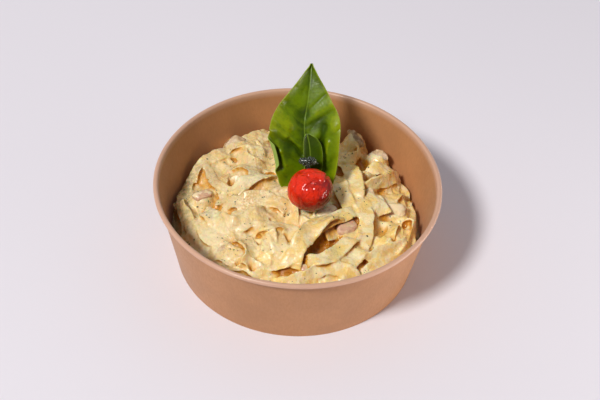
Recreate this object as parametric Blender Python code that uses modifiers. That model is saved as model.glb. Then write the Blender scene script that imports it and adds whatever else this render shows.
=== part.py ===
"""Fettuccine alfredo in its round paper bowl, with a roasted cherry tomato and basil on top.

Run with: blender --background --python part.py
Units are metres and +Z is up. The origin is the centre of the bowl's foot, on the table.
The bowl's front is at -Y.
"""

import math
import random

import bmesh
import bpy
from mathutils import Euler, Vector

MM = 0.001
CLEARANCE = 0.35 * MM  # gap kept between neighbouring pieces

# Paper bowl: a conical wall with a rolled rim, and a base disc lifted by a narrow foot ring.
RIM_RADIUS = 75.0 * MM
FOOT_RADIUS = 64.0 * MM
BOWL_HEIGHT = 50.0 * MM
PAPER = 0.6 * MM
CURL_RADIUS = 1.35 * MM
CURL_SWEEP = math.radians(290)
CURL_STEPS = 8
FOOT_WIDTH = 1.6 * MM
FOOT_ROUNDING = 0.3 * MM
BASE_LIFT = 5.0 * MM
FLOOR_FILLET = 0.8 * MM
BOWL_STEPS = 54

# Heap of noodles, which fills the bowl out to its wall.
HEAP_SPOKES = 68
HEAP_RINGS = 19
HEAP_EDGE = 22.0 * MM
HEAP_BACK_RISE = 3.0 * MM
HEAP_CROWN = 36.5 * MM
NOODLE_WIDTH = 8.5 * MM
NOODLE_STEP = 3.2 * MM
NOODLE_LOOPS = 26
NOODLE_SEED = 5
TOPPING_HOLLOW = 9.0 * MM  # noodles lie flat within this distance of a chicken or mushroom piece

# Roasted cherry tomato.
TOMATO_RADIUS = 12.0 * MM
TOMATO_CENTRE = Vector((6.3, -6.7, 50.0)) * MM
TOMATO_SQUASH = 0.96
TOMATO_WRINKLE = 0.025

# Basil: one standing leaf, one small leaf in front of it, and a tuft of buds.
LEAF_LENGTH = 69.0 * MM
LEAF_HALF_WIDTH = 18.6 * MM
LEAF_THICKNESS = 0.8 * MM
LEAF_BASE = Vector((2.6, 12.0, 30.0)) * MM
LEAF_LEAN = math.radians(27)
LEAF_CUP = 9.0 * MM
SMALL_LEAF_LENGTH = 31.0 * MM
SMALL_LEAF_HALF_WIDTH = 6.0 * MM
SMALL_LEAF_BASE = Vector((5.6, 9.6, 35.0)) * MM
SMALL_LEAF_LEAN = math.radians(20)
SMALL_LEAF_CUP = 2.4 * MM
BUDS_CENTRE = Vector((4.6, 6.9, 56.8)) * MM
BUDS_SIZE = Vector((10.5, 3.6, 4.8)) * MM
BUD_STEM_RADIUS = 0.9 * MM
BUD_STEM_FOOT = 33.0 * MM

# Chicken: centre, size (long, wide, thick) in millimetres, and turn and tilt in degrees.
CHICKEN_PIECES = (
    ((15.4, -9.8, 36.4), (13.0, 6.5, 5.0), (14, 0, 39)),
    ((52.4, 2.0, 28.0), (14.0, 9.0, 8.0), (15, 10, -8)),
    ((37.0, 10.5, 32.0), (9.0, 6.5, 5.0), (10, 0, 20)),
    ((-50.6, 5.5, 29.0), (12.0, 6.5, 6.0), (8, 0, 40)),
    ((26.0, -17.0, 32.0), (13.0, 7.5, 7.0), (15, 0, 33)),
    ((7.2, -43.0, 28.5), (10.5, 6.0, 5.5), (10, 0, 4)),
)

# Mushroom: centre, size (cap width, cap height, thickness) and turn and tilt.
MUSHROOM_SLICES = (
    ((30.6, 53.0, 32.5), (15.0, 9.0, 3.0), (82, 8, -52)),
    ((43.2, 41.2, 30.5), (11.5, 9.5, 3.4), (48, 0, -14)),
    ((-36.0, 49.0, 28.5), (12.5, 9.0, 3.2), (40, 0, 22)),
    ((-34.2, -37.0, 29.0), (12.0, 9.0, 3.4), (18, 0, -30)),
)


def clear_scene():
    """Remove what the scene holds, and hand back its collections: parts, cutters and guides."""
    for obj in list(bpy.data.objects):
        bpy.data.objects.remove(obj, do_unlink=True)
    collections = []
    for name in ("fettuccine_alfredo_bowl", "cutters", "guides"):
        collection = bpy.data.collections.new(name)
        bpy.context.scene.collection.children.link(collection)
        collection.hide_render = name != "fettuccine_alfredo_bowl"
        collections.append(collection)
    return collections


def material(name, colour, roughness, metallic=0.0):
    """A Principled material of one colour."""
    made = bpy.data.materials.new(name)
    made.use_nodes = True
    shader = made.node_tree.nodes["Principled BSDF"]
    shader.inputs["Base Color"].default_value = (*colour, 1.0)
    shader.inputs["Roughness"].default_value = roughness
    shader.inputs["Metallic"].default_value = metallic
    return made


def add_object(name, bm, collection, finish, place=(0, 0, 0), turn=(0, 0, 0)):
    """Turn a bmesh into a smooth-shaded object, placed and turned as asked."""
    mesh = bpy.data.meshes.new(name)
    bm.to_mesh(mesh)
    bm.free()
    mesh.materials.append(finish)
    mesh.shade_smooth()
    mesh.set_sharp_from_angle(angle=math.radians(40))
    obj = bpy.data.objects.new(name, mesh)
    obj.location = place
    obj.rotation_euler = Euler(turn)
    collection.objects.link(obj)
    return obj


def add_cutter(piece, cutters):
    """A copy of a piece, grown by the clearance, that cuts its pocket out of the noodles."""
    cutter = piece.copy()
    cutter.name = piece.name + "_pocket"
    cutter.hide_render = True
    cutter.display_type = "WIRE"
    cutters.objects.link(cutter)
    grow = cutter.modifiers.new("Grow", "DISPLACE")
    grow.mid_level = 0.0
    grow.strength = CLEARANCE


def wall_radius(height):
    """Inner radius of the bowl's wall at a height above the table."""
    share = height / (BOWL_HEIGHT - CURL_RADIUS)
    top = RIM_RADIUS - 2 * CURL_RADIUS
    return (FOOT_RADIUS - PAPER) * (1 - share) + top * share


def arc(centre, radius, first, last, steps):
    """Points of an arc in the profile's plane, both ends included."""
    points = []
    for step in range(steps + 1):
        angle = first + (last - first) * step / steps
        points.append((centre[0] + radius * math.cos(angle), centre[1] + radius * math.sin(angle)))
    return points


def bowl_outline():
    """The bowl's closed section, from the floor's middle over the rim to the underside's middle."""
    floor_top = BASE_LIFT + PAPER
    curl_centre = (RIM_RADIUS - CURL_RADIUS, BOWL_HEIGHT - CURL_RADIUS)
    curl_end = math.pi - CURL_SWEEP
    foot_inner = FOOT_RADIUS - FOOT_WIDTH
    outline = [
        (0.0, floor_top),
        (wall_radius(floor_top) - FLOOR_FILLET, floor_top),
        (wall_radius(floor_top + FLOOR_FILLET), floor_top + FLOOR_FILLET),
    ]
    outline += arc(curl_centre, CURL_RADIUS, math.pi, curl_end, CURL_STEPS)
    outline += arc(curl_centre, CURL_RADIUS - PAPER, curl_end, math.pi, CURL_STEPS - 2)
    outline += [
        (FOOT_RADIUS, FOOT_ROUNDING),
        (FOOT_RADIUS - FOOT_ROUNDING, 0.0),
        (foot_inner + FOOT_ROUNDING, 0.0),
        (foot_inner, FOOT_ROUNDING),
        (foot_inner, BASE_LIFT),
        (0.0, BASE_LIFT),
    ]
    return outline


def build_bowl(collection, finish):
    """The paper bowl, turned from its section."""
    bm = bmesh.new()
    points = [bm.verts.new((radius, 0.0, height)) for radius, height in bowl_outline()]
    for lower, upper in zip(points, points[1:]):
        bm.edges.new((lower, upper))
    bowl = add_object("bowl", bm, collection, finish)
    turn = bowl.modifiers.new("Turn", "SCREW")
    turn.steps = BOWL_STEPS
    turn.render_steps = BOWL_STEPS
    turn.use_merge_vertices = True
    turn.merge_threshold = 0.00001
    turn.use_smooth_shade = True
    return bowl


def noodle_loops():
    """Centre, radius, first angle, sweep and lift of each arc that a top noodle follows."""
    draw = random.Random(NOODLE_SEED)
    loops = []
    for _ in range(NOODLE_LOOPS):
        spread = 50.0 * MM * math.sqrt(draw.random())
        bearing = draw.uniform(0, math.tau)
        centre = (spread * math.cos(bearing), spread * math.sin(bearing))
        radius = draw.uniform(10.0, 26.0) * MM
        first = draw.uniform(0, math.tau)
        sweep = draw.uniform(1.6, 3.6)
        lift = draw.uniform(0.5, 1.3) * NOODLE_STEP
        loops.append((centre, radius, first, sweep, lift))
    return loops


def noodle_relief(x, y, loops):
    """How far the topmost noodle stands proud of the heap at a point."""
    proud = 0.0
    for centre, radius, first, sweep, lift in loops:
        offset = abs(math.hypot(x - centre[0], y - centre[1]) - radius) / (NOODLE_WIDTH / 2)
        along = (math.atan2(y - centre[1], x - centre[0]) - first) % math.tau
        if offset < 1 and along < sweep:
            dip_at_ends = math.sin(math.pi * along / sweep) ** 0.5
            proud = max(proud, lift * dip_at_ends * (1 - offset**2) ** 0.7)
    return proud


def openness(x, y):
    """1 where noodles can loop freely, down to 0 at the middle of a chicken or mushroom piece."""
    nearest = min(
        math.hypot(x - centre[0] * MM, y - centre[1] * MM)
        for centre, _, _ in CHICKEN_PIECES + MUSHROOM_SLICES
    )
    return min(1.0, nearest / TOPPING_HOLLOW) ** 2


def heap_height(x, y, loops):
    """Height of the heap's surface: a low mound, higher at the back, with noodles lying on it."""
    share = min(1.0, math.hypot(x, y) / wall_radius(HEAP_EDGE))
    bearing = math.atan2(y, x)
    edge = HEAP_EDGE + HEAP_BACK_RISE * math.sin(bearing) + 1.2 * MM * math.sin(3 * bearing + 0.6)
    mound = edge + (HEAP_CROWN - edge) * (1 - share**2.2)
    return mound + noodle_relief(x, y, loops) * openness(x, y) * (1 - share**8)


def build_heap(collection, finish):
    """The noodles and their sauce, as one closed body that follows the bowl's wall."""
    bottom = BASE_LIFT + PAPER + CLEARANCE
    profile = [(0.0, bottom), (wall_radius(bottom) - 3 * CLEARANCE - FLOOR_FILLET, bottom)]
    for ring in range(HEAP_RINGS, -1, -1):
        profile.append((wall_radius(HEAP_EDGE) * ring / HEAP_RINGS, HEAP_EDGE))
    bm = bmesh.new()
    points = [bm.verts.new((radius, 0.0, height)) for radius, height in profile]
    edges = [bm.edges.new(pair) for pair in zip(points, points[1:])]
    bmesh.ops.spin(
        bm,
        geom=points + edges,
        axis=(0, 0, 1),
        cent=(0, 0, 0),
        angle=math.tau,
        steps=HEAP_SPOKES,
    )
    bmesh.ops.remove_doubles(bm, verts=bm.verts, dist=0.00001)
    bmesh.ops.recalc_face_normals(bm, faces=bm.faces)
    loops = noodle_loops()
    for vert in bm.verts:
        if vert.co.z < HEAP_EDGE / 2:
            continue
        radius = vert.co.xy.length
        vert.co.z = heap_height(vert.co.x, vert.co.y, loops)
        limit = wall_radius(vert.co.z) - CLEARANCE
        if radius > limit or radius > wall_radius(HEAP_EDGE) * (1 - 0.5 / HEAP_RINGS):
            vert.co.xy = vert.co.xy * (limit / radius)
    return add_object("fettuccine", bm, collection, finish)


def cut_pockets(heap, cutters):
    """Cut the place of each topping out of the heap."""
    cut = heap.modifiers.new("Pockets", "BOOLEAN")
    cut.operation = "DIFFERENCE"
    cut.solver = "EXACT"
    cut.operand_type = "COLLECTION"
    cut.collection = cutters


def build_tomato(collection, finish):
    """The cherry tomato, with its skin gathered in soft wrinkles round the stem end."""
    bm = bmesh.new()
    bmesh.ops.create_uvsphere(bm, u_segments=26, v_segments=13, radius=TOMATO_RADIUS)
    for vert in bm.verts:
        height = vert.co.z / TOMATO_RADIUS
        bearing = math.atan2(vert.co.y, vert.co.x)
        gather = max(0.0, height) * (1 - height**8)
        ripple = math.sin(7 * bearing + 2 * height) + 0.6 * math.sin(11 * bearing)
        vert.co *= 1 - TOMATO_WRINKLE * gather * ripple
        vert.co.z *= TOMATO_SQUASH
    turn = (math.radians(-28), math.radians(-6), 0)
    return add_object("cherry_tomato", bm, collection, finish, TOMATO_CENTRE, turn)


def leaf_half_width(share):
    """Half the leaf's width, as a part of its widest, from the base (0) to the tip (1)."""
    widest = 0.48
    if share < widest:
        return 0.66 + 0.34 * math.sin(math.pi / 2 * share / widest)
    return 1 - ((share - widest) / (1 - widest)) ** 1.6


def build_leaf(name, collection, finish, length, half_width, cup, base, lean):
    """A basil leaf: a cupped sheet that leans back, with a raised tip."""
    columns = 8
    rows = 12
    bm = bmesh.new()
    bmesh.ops.create_grid(bm, x_segments=columns, y_segments=rows, size=1.0)
    for vert in bm.verts:
        side = vert.co.x
        share = (vert.co.y + 1) / 2
        forward = cup * side**2 * (1 - 0.8 * share) + 0.03 * length * math.sin(math.pi * share)
        across = side * half_width * leaf_half_width(share)
        vert.co = Vector((across, -forward, share * length))
    bmesh.ops.remove_doubles(bm, verts=bm.verts, dist=0.1 * MM)
    leaf = add_object(name, bm, collection, finish, base, (-lean, 0, 0))
    thicken = leaf.modifiers.new("Thicken", "SOLIDIFY")
    thicken.thickness = LEAF_THICKNESS
    thicken.offset = 0.0
    return leaf


def build_buds(collection, guides, finish):
    """The small tuft of basil buds between the leaf and the tomato, on its stem."""
    bm = bmesh.new()
    bmesh.ops.create_uvsphere(bm, u_segments=16, v_segments=8, radius=0.5)
    for vert in bm.verts:
        lobes = abs(math.sin(9 * vert.co.x + 0.6)) * abs(math.cos(5 * vert.co.z))
        vert.co *= 0.84 + 0.2 * lobes
        vert.co *= BUDS_SIZE
    buds = add_object("basil_buds", bm, collection, finish, BUDS_CENTRE)
    length = BUDS_CENTRE.z - BUD_STEM_FOOT
    bm = bmesh.new()
    bmesh.ops.create_cone(
        bm, cap_ends=True, segments=8, radius1=BUD_STEM_RADIUS, radius2=BUD_STEM_RADIUS, depth=length
    )
    stem = add_object("bud_stem", bm, guides, finish, BUDS_CENTRE - Vector((0, 0, length / 2)))
    stem.hide_render = True
    stem.display_type = "WIRE"
    join = buds.modifiers.new("Stem", "BOOLEAN")
    join.operation = "UNION"
    join.solver = "EXACT"
    join.object = stem
    return buds


def build_chicken(number, collection, finish, centre, size, turn):
    """A torn strip of chicken: a block with worn corners and uneven faces."""
    draw = random.Random(100 + number)
    bm = bmesh.new()
    bmesh.ops.create_cube(bm, size=1.0)
    bmesh.ops.subdivide_edges(bm, edges=bm.edges, cuts=2, use_grid_fill=True)
    for vert in bm.verts:
        ball = vert.co.normalized() * 0.62
        vert.co = vert.co.lerp(ball, 0.5)
        vert.co *= draw.uniform(0.93, 1.04)
        vert.co *= Vector(size) * MM
    place = Vector(centre) * MM
    angles = [math.radians(angle) for angle in turn]
    return add_object(f"chicken_piece_{number}", bm, collection, finish, place, angles)


def mushroom_outline(width, height):
    """A slice's outline: a domed cap over a short stem, as points round the slice."""
    brim = -0.1 * height
    outline = arc((0.0, 0.0), 1.0, 0.0, math.pi, 10)
    outline = [(x * width / 2, y * height * 0.62) for x, y in outline]
    outline += [(-0.42 * width, brim), (-0.17 * width, 0.6 * brim), (-0.15 * width, 3.8 * brim)]
    outline += [(0.15 * width, 3.8 * brim), (0.17 * width, 0.6 * brim), (0.42 * width, brim)]
    return outline


def build_mushroom(number, collection, finish, centre, size, turn):
    """A mushroom slice, cut straight through cap and stem."""
    width, height, thickness = (measure * MM for measure in size)
    curve = bpy.data.curves.new(f"mushroom_slice_{number}", "CURVE")
    curve.dimensions = "2D"
    curve.fill_mode = "BOTH"
    curve.extrude = thickness / 2
    spline = curve.splines.new("POLY")
    outline = mushroom_outline(width, height)
    spline.points.add(len(outline) - 1)
    for point, (x, y) in zip(spline.points, outline):
        point.co = (x, y, 0.0, 1.0)
    spline.use_cyclic_u = True
    drawn = bpy.data.objects.new("mushroom_drawing", curve)
    collection.objects.link(drawn)
    graph = bpy.context.evaluated_depsgraph_get()
    mesh = bpy.data.meshes.new_from_object(drawn.evaluated_get(graph))
    bpy.data.objects.remove(drawn)
    bm = bmesh.new()
    bm.from_mesh(mesh)
    bmesh.ops.remove_doubles(bm, verts=bm.verts, dist=0.00001)
    bmesh.ops.recalc_face_normals(bm, faces=bm.faces)
    place = Vector(centre) * MM
    angles = [math.radians(angle) for angle in turn]
    name = f"mushroom_slice_{number}"
    return add_object(name, bm, collection, finish, place, angles)


def build_toppings(collection, guides):
    """All that lies on or in the heap."""
    basil = material("basil", (0.10, 0.24, 0.01), 0.35)
    small_basil = material("young_basil", (0.06, 0.17, 0.01), 0.35)
    buds = material("basil_bud", (0.03, 0.05, 0.02), 0.3)
    tomato = material("tomato_skin", (0.62, 0.03, 0.01), 0.15)
    chicken = material("chicken", (0.72, 0.50, 0.33), 0.45)
    mushroom = material("mushroom", (0.62, 0.48, 0.32), 0.4)
    toppings = [
        build_tomato(collection, tomato),
        build_leaf(
            "basil_leaf", collection, basil, LEAF_LENGTH, LEAF_HALF_WIDTH, LEAF_CUP, LEAF_BASE, LEAF_LEAN
        ),
        build_leaf(
            "basil_leaf_small",
            collection,
            small_basil,
            SMALL_LEAF_LENGTH,
            SMALL_LEAF_HALF_WIDTH,
            SMALL_LEAF_CUP,
            SMALL_LEAF_BASE,
            SMALL_LEAF_LEAN,
        ),
        build_buds(collection, guides, buds),
    ]
    for number, (centre, size, turn) in enumerate(CHICKEN_PIECES, start=1):
        toppings.append(build_chicken(number, collection, chicken, centre, size, turn))
    for number, (centre, size, turn) in enumerate(MUSHROOM_SLICES, start=1):
        toppings.append(build_mushroom(number, collection, mushroom, centre, size, turn))
    return toppings


def main():
    """Build the bowl, the heap and the toppings, then cut the toppings' places."""
    parts, cutters, guides = clear_scene()
    build_bowl(parts, material("kraft_paper", (0.45, 0.26, 0.15), 0.6))
    heap = build_heap(parts, material("creamy_pasta", (0.80, 0.62, 0.32), 0.35))
    for topping in build_toppings(parts, guides):
        add_cutter(topping, cutters)
    cut_pockets(heap, cutters)


main()
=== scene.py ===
"""Fettuccine alfredo in a kraft paper bowl, with a roasted cherry tomato and basil on top.

Each operator of the sidebar panel makes one kind of piece, and main() runs them in order.
Lengths are metres, +Z is up, and the bowl's front is at -Y.
"""

import math
import random

import bmesh
import bpy
import numpy as np
from mathutils import Euler, Matrix, Vector
from mathutils.bvhtree import BVHTree


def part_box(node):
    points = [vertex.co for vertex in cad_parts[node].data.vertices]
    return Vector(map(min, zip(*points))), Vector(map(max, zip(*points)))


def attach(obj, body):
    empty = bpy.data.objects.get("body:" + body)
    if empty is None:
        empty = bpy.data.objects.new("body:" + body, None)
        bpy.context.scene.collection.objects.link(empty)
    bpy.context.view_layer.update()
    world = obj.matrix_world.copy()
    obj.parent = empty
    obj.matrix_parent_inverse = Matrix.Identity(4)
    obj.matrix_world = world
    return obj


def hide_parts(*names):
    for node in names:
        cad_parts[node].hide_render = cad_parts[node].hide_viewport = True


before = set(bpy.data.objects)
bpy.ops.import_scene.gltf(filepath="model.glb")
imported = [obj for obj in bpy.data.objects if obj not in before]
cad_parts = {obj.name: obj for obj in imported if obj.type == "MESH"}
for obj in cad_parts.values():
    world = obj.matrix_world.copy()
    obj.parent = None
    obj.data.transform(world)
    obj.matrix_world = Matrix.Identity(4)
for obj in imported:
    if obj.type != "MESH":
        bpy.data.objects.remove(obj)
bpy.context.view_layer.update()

bl_info = {
    "name": "Fettuccine alfredo bowl",
    "version": (1, 0, 0),
    "blender": (4, 5, 0),
    "location": "View3D > Sidebar > Alfredo",
    "description": "Makes a paper bowl of creamy noodles with tomato, basil, chicken and mushroom",
    "category": "Object",
}

MM = 0.001

# Bowl.
RIM_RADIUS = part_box("bowl")[1].x
BOWL_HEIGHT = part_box("bowl")[1].z
FOOT_RADIUS = 64.0 * MM
CURL_RADIUS = 1.35 * MM
CURL_SWEEP = math.radians(290)
FOOT_WIDTH = 1.6 * MM
FOOT_ROUNDING = 0.3 * MM
BASE_LIFT = 5.0 * MM
FLOOR_FILLET = 0.8 * MM
LAP_START = 88  # bearings in degrees between which the wall's paper laps over itself
LAP_END = 98
LAP_STEP = 0.28 * MM

# Heap of noodles.
HEAP_EDGE = 22.0 * MM
HEAP_BACK_RISE = 3.0 * MM
HEAP_CROWN = 36.5 * MM
CORE_DEPTH = 10.0 * MM  # the laid noodles start this far below the finished mound
BODY_FLOOR = 14.0 * MM  # the laid noodles and their sauce end here, over the core
GRID_PITCH = 0.75 * MM
GRID_REACH = 73.5 * MM
LINE_STEP = 0.7 * MM
NOODLE_WIDTH = 8.4 * MM
NOODLE_THICKNESS = 1.35 * MM
EDGE_DROOP = 12.0  # a noodle's edges hang by this, per metre, times their distance squared
SAUCE_COAT = 0.4 * MM  # laid on the noodles before they melt together, and taken off again after
DIVE = 3.0 * MM  # how far a noodle's ends sink into the heap
DIVE_LENGTH = 7.0 * MM


def paint(red, green, blue):
    """A screen colour (0 to 255) as the linear numbers that shaders take."""
    linear = []
    for value in (red, green, blue):
        share = value / 255
        linear.append(share / 12.92 if share <= 0.04045 else ((share + 0.055) / 1.055) ** 2.4)
    return tuple(linear)


def smoothstep(low, high, value):
    """0 below low, 1 above high, and an S-curve between."""
    share = np.clip((value - low) / (high - low), 0.0, 1.0)
    return share * share * (3 - 2 * share)


def lattice_noise(points, cell, seed):
    """Smooth random numbers from -1 to 1 at each point, changing over one cell's length."""
    scaled = np.asarray(points) / cell
    corner = np.floor(scaled).astype(int)
    share = scaled - corner
    share = share * share * (3 - 2 * share)
    table = np.random.default_rng(seed).uniform(-1, 1, (32, 32, 32))
    total = np.zeros(len(scaled))
    for i in (0, 1):
        for j in (0, 1):
            for k in (0, 1):
                weight = np.ones(len(scaled))
                for axis, side in enumerate((i, j, k)):
                    weight *= share[:, axis] if side else 1 - share[:, axis]
                spot = (corner + (i, j, k)) % 32
                total += weight * table[spot[:, 0], spot[:, 1], spot[:, 2]]
    return total


def layered_noise(points, cell, seed, layers=3):
    """Lattice noise with finer and weaker noise added on top."""
    total = np.zeros(len(points))
    for layer in range(layers):
        total += lattice_noise(points, cell / 2**layer, seed + layer) / 2**layer
    return total


# ---------------------------------------------------------------- meshes


def grid_faces(rows, columns, closed, first=0):
    """Quads between the points of a grid stored row by row; closed joins the last column to the first."""
    across = np.arange(columns if closed else columns - 1)
    row, column = np.meshgrid(np.arange(rows - 1), across, indexing="ij")
    here = first + row * columns + column
    beside = first + row * columns + (column + 1) % columns
    return np.stack((here, beside, beside + columns, here + columns), axis=-1).reshape(-1, 4).tolist()


def close_ends(faces, columns, last, first_tip, last_tip):
    """Add triangles from one tip to the first row, and from the other tip to the row starting at last."""
    for step in range(columns):
        beside = (step + 1) % columns
        faces.append([first_tip, beside, step])
        faces.append([last_tip, last + step, last + beside])


def turn_round(section, steps):
    """Points of a section turned round the upright axis, row by row."""
    bearings = [math.tau * step / steps for step in range(steps)]
    return [(out * math.cos(b), out * math.sin(b), height) for out, height in section for b in bearings]


def new_object(name, points, faces, finish=None):
    """A smooth-shaded mesh object with its place in its mesh."""
    mesh = bpy.data.meshes.new(name)
    mesh.from_pydata([tuple(point) for point in np.asarray(points).tolist()], [], faces)
    mesh.shade_smooth()
    if finish:
        mesh.materials.append(finish)
    obj = bpy.data.objects.new(name, mesh)
    bpy.context.scene.collection.objects.link(obj)
    return obj


def read_points(mesh):
    """The mesh's points as an array."""
    points = np.empty(len(mesh.vertices) * 3)
    mesh.vertices.foreach_get("co", points)
    return points.reshape(-1, 3)


def read_normals(mesh):
    """The mesh's point normals as an array."""
    normals = np.empty(len(mesh.vertices) * 3, np.float32)
    mesh.vertices.foreach_get("normal", normals)
    return normals.reshape(-1, 3).astype(float)


def write_points(mesh, points):
    """Move the mesh's points."""
    mesh.vertices.foreach_set("co", np.asarray(points, float).ravel())
    mesh.update()


def write_attribute(mesh, name, values):
    """Store one number per point, for materials to read."""
    layer = mesh.attributes.get(name) or mesh.attributes.new(name, "FLOAT", "POINT")
    layer.data.foreach_set("value", np.asarray(values, np.float32))


def face_outward(mesh):
    """Make all faces of a closed mesh point out."""
    bm = bmesh.new()
    bm.from_mesh(mesh)
    bmesh.ops.recalc_face_normals(bm, faces=bm.faces)
    bm.to_mesh(mesh)
    bm.free()


def bake_modifiers(obj):
    """Replace the object's mesh by what its modifiers make of it."""
    graph = bpy.context.evaluated_depsgraph_get()
    mesh = bpy.data.meshes.new_from_object(obj.evaluated_get(graph))
    obj.modifiers.clear()
    obj.data = mesh
    mesh.shade_smooth()
    return obj


def apply_modifier(obj, kind, **settings):
    """Add one modifier, set it and bake it into the mesh."""
    modifier = obj.modifiers.new(kind.title(), kind)
    for key, value in settings.items():
        setattr(modifier, key, value)
    bake_modifiers(obj)


def keep_largest_shell(mesh):
    """Remove the small shells that a remesh leaves inside."""
    bm = bmesh.new()
    bm.from_mesh(mesh)
    bm.faces.ensure_lookup_table()
    unseen = set(range(len(bm.faces)))
    largest = []
    while unseen:
        start = unseen.pop()
        shell = [start]
        queue = [bm.faces[start]]
        while queue:
            for edge in queue.pop().edges:
                for face in edge.link_faces:
                    if face.index in unseen:
                        unseen.remove(face.index)
                        shell.append(face.index)
                        queue.append(face)
        if len(shell) > len(largest):
            largest = shell
    kept = set(largest)
    bmesh.ops.delete(bm, geom=[face for face in bm.faces if face.index not in kept], context="FACES")
    bm.to_mesh(mesh)
    bm.free()


def wrap_in_skin(obj, voxel, most_triangles, coat):
    """Melt a joined mesh into one closed skin, take its coat off again, soften it and thin it out."""
    apply_modifier(obj, "REMESH", mode="VOXEL", voxel_size=voxel)
    keep_largest_shell(obj.data)
    apply_modifier(obj, "SMOOTH", factor=0.5, iterations=2)
    apply_modifier(obj, "DISPLACE", strength=-coat, mid_level=0.0)
    apply_modifier(obj, "SMOOTH", factor=0.5, iterations=2)
    triangles = 2 * len(obj.data.polygons)
    if triangles > most_triangles:
        apply_modifier(obj, "DECIMATE", ratio=most_triangles / triangles)


def hand_in(obj, replaced):
    """Let the piece ride on the bowl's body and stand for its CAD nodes."""
    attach(obj, "root")
    if replaced:
        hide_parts(*replaced)


# ---------------------------------------------------------------- node trees


def feed(tree, socket, value):
    """Link a socket, or set its value."""
    if isinstance(value, bpy.types.NodeSocket):
        tree.links.new(value, socket)
    elif socket.type == "RGBA":
        socket.default_value = (*value, 1.0)
    else:
        socket.default_value = value


def add_node(tree, kind, inputs=None, **settings):
    """Add a node to a tree, with its settings and its inputs; gives its outputs."""
    made = tree.nodes.new(kind)
    for key, value in settings.items():
        setattr(made, key, value)
    for socket, value in (inputs or {}).items():
        feed(tree, made.inputs[socket], value)
    return made.outputs


def start_tree(name, inputs):
    """A Geometry Nodes tree with named inputs; gives the tree and the sockets of those inputs."""
    tree = bpy.data.node_groups.new(name, "GeometryNodeTree")
    tree.interface.new_socket("Geometry", in_out="INPUT", socket_type="NodeSocketGeometry")
    for label, kind, default in inputs:
        socket = tree.interface.new_socket(label, in_out="INPUT", socket_type=kind)
        socket.default_value = default
    tree.interface.new_socket("Geometry", in_out="OUTPUT", socket_type="NodeSocketGeometry")
    return tree, add_node(tree, "NodeGroupInput")


def end_tree(tree, geometry, finish):
    """End a Geometry Nodes tree: its instances are made real and its material is set."""
    real = add_node(tree, "GeometryNodeRealizeInstances", {"Geometry": geometry})
    done = add_node(tree, "GeometryNodeSetMaterial", {"Geometry": real["Geometry"], "Material": finish})
    add_node(tree, "NodeGroupOutput", {"Geometry": done["Geometry"]})


# ---------------------------------------------------------------- materials


class Finish:
    """A material being made: adds nodes to its tree and links them."""

    def __init__(self, name):
        self.material = bpy.data.materials.new(name)
        self.material.use_nodes = True
        self.tree = self.material.node_tree
        self.shader = self.tree.nodes["Principled BSDF"]
        self.place = self.node("ShaderNodeTexCoord")["Object"]

    def node(self, kind, inputs=None, **settings):
        """Add a node; gives its outputs."""
        return add_node(self.tree, kind, inputs, **settings)

    def surface(self, **inputs):
        """Feed the shader; an underscore in a name stands for a space."""
        for name, value in inputs.items():
            feed(self.tree, self.shader.inputs[name.replace("_", " ")], value)

    def noise(self, size, detail=3.0, roughness=0.55, place=None, distortion=0.0):
        """Cloudy noise from 0 to 1 with features of about this size."""
        inputs = {
            "Vector": place or self.place,
            "Scale": 1 / size,
            "Detail": detail,
            "Roughness": roughness,
            "Distortion": distortion,
        }
        return self.node("ShaderNodeTexNoise", inputs)[0]

    def stretched(self, scale, turn=(0.0, 0.0, 0.0)):
        """Object coordinates, turned and stretched."""
        inputs = {"Vector": self.place, "Scale": scale, "Rotation": turn}
        return self.node("ShaderNodeMapping", inputs)[0]

    def mask(self, name):
        """A number stored on the mesh's points."""
        return self.node("ShaderNodeAttribute", attribute_name=name)["Fac"]

    def step(self, value, low, high, first=0.0, last=1.0):
        """An S-curve from first to last as the value goes from low to high."""
        inputs = {"Value": value, "From Min": low, "From Max": high, "To Min": first, "To Max": last}
        return self.node("ShaderNodeMapRange", inputs, interpolation_type="SMOOTHSTEP")[0]

    def sum(self, first, second, operation="ADD"):
        """Two numbers joined by a sum or another operation."""
        return self.node("ShaderNodeMath", {0: first, 1: second}, operation=operation)[0]

    def times(self, first, second):
        """Two numbers multiplied."""
        return self.sum(first, second, "MULTIPLY")

    def blend(self, share, first, second):
        """Two colours mixed."""
        return self.node("ShaderNodeMix", {0: share, 6: first, 7: second}, data_type="RGBA")[2]

    def bump(self, height, distance):
        """A bumpy normal from a height between 0 and 1."""
        return self.node("ShaderNodeBump", {"Height": height, "Distance": distance})[0]


def paper_finish(colour):
    """Uncoated brown paper: fibres, faint mottling, a soft sheen and a smoother rolled rim, painted paler
    as a highlight.
    """
    finish = Finish("kraft_paper")
    clouds = finish.noise(18 * MM, detail=4)
    fibres = finish.noise(1.0 * MM, detail=5, place=finish.stretched((1.0, 1.0, 0.35)))
    flecks = finish.noise(0.9 * MM, detail=1, place=finish.stretched((1.0, 1.0, 0.6)))
    darker = [0.93 * c for c in colour]
    lighter = [1.05 * c for c in colour]
    base = finish.blend(finish.step(clouds, 0.3, 0.7), darker, lighter)
    base = finish.blend(finish.step(fibres, 0.35, 0.75, 0.0, 0.3), base, [0.8 * c for c in colour])
    base = finish.blend(finish.step(flecks, 0.70, 0.80, 0.0, 0.3), base, [0.55 * c for c in colour])
    rim = finish.mask("rim")
    # The rolled rim is blended towards a pale pink: a painted highlight on the curl.
    base = finish.blend(finish.times(rim, 0.6), base, paint(220, 182, 162))
    normal = finish.bump(fibres, 0.06 * MM)
    rough = finish.step(fibres, 0.3, 0.7, 0.50, 0.62)
    rough = finish.sum(rough, finish.times(rim, 0.22), "SUBTRACT")
    finish.surface(Base_Color=base, Roughness=rough, Normal=normal)
    finish.surface(Specular_IOR_Level=0.45, Sheen_Weight=0.12, Sheen_Roughness=0.45)
    return finish.material


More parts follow.
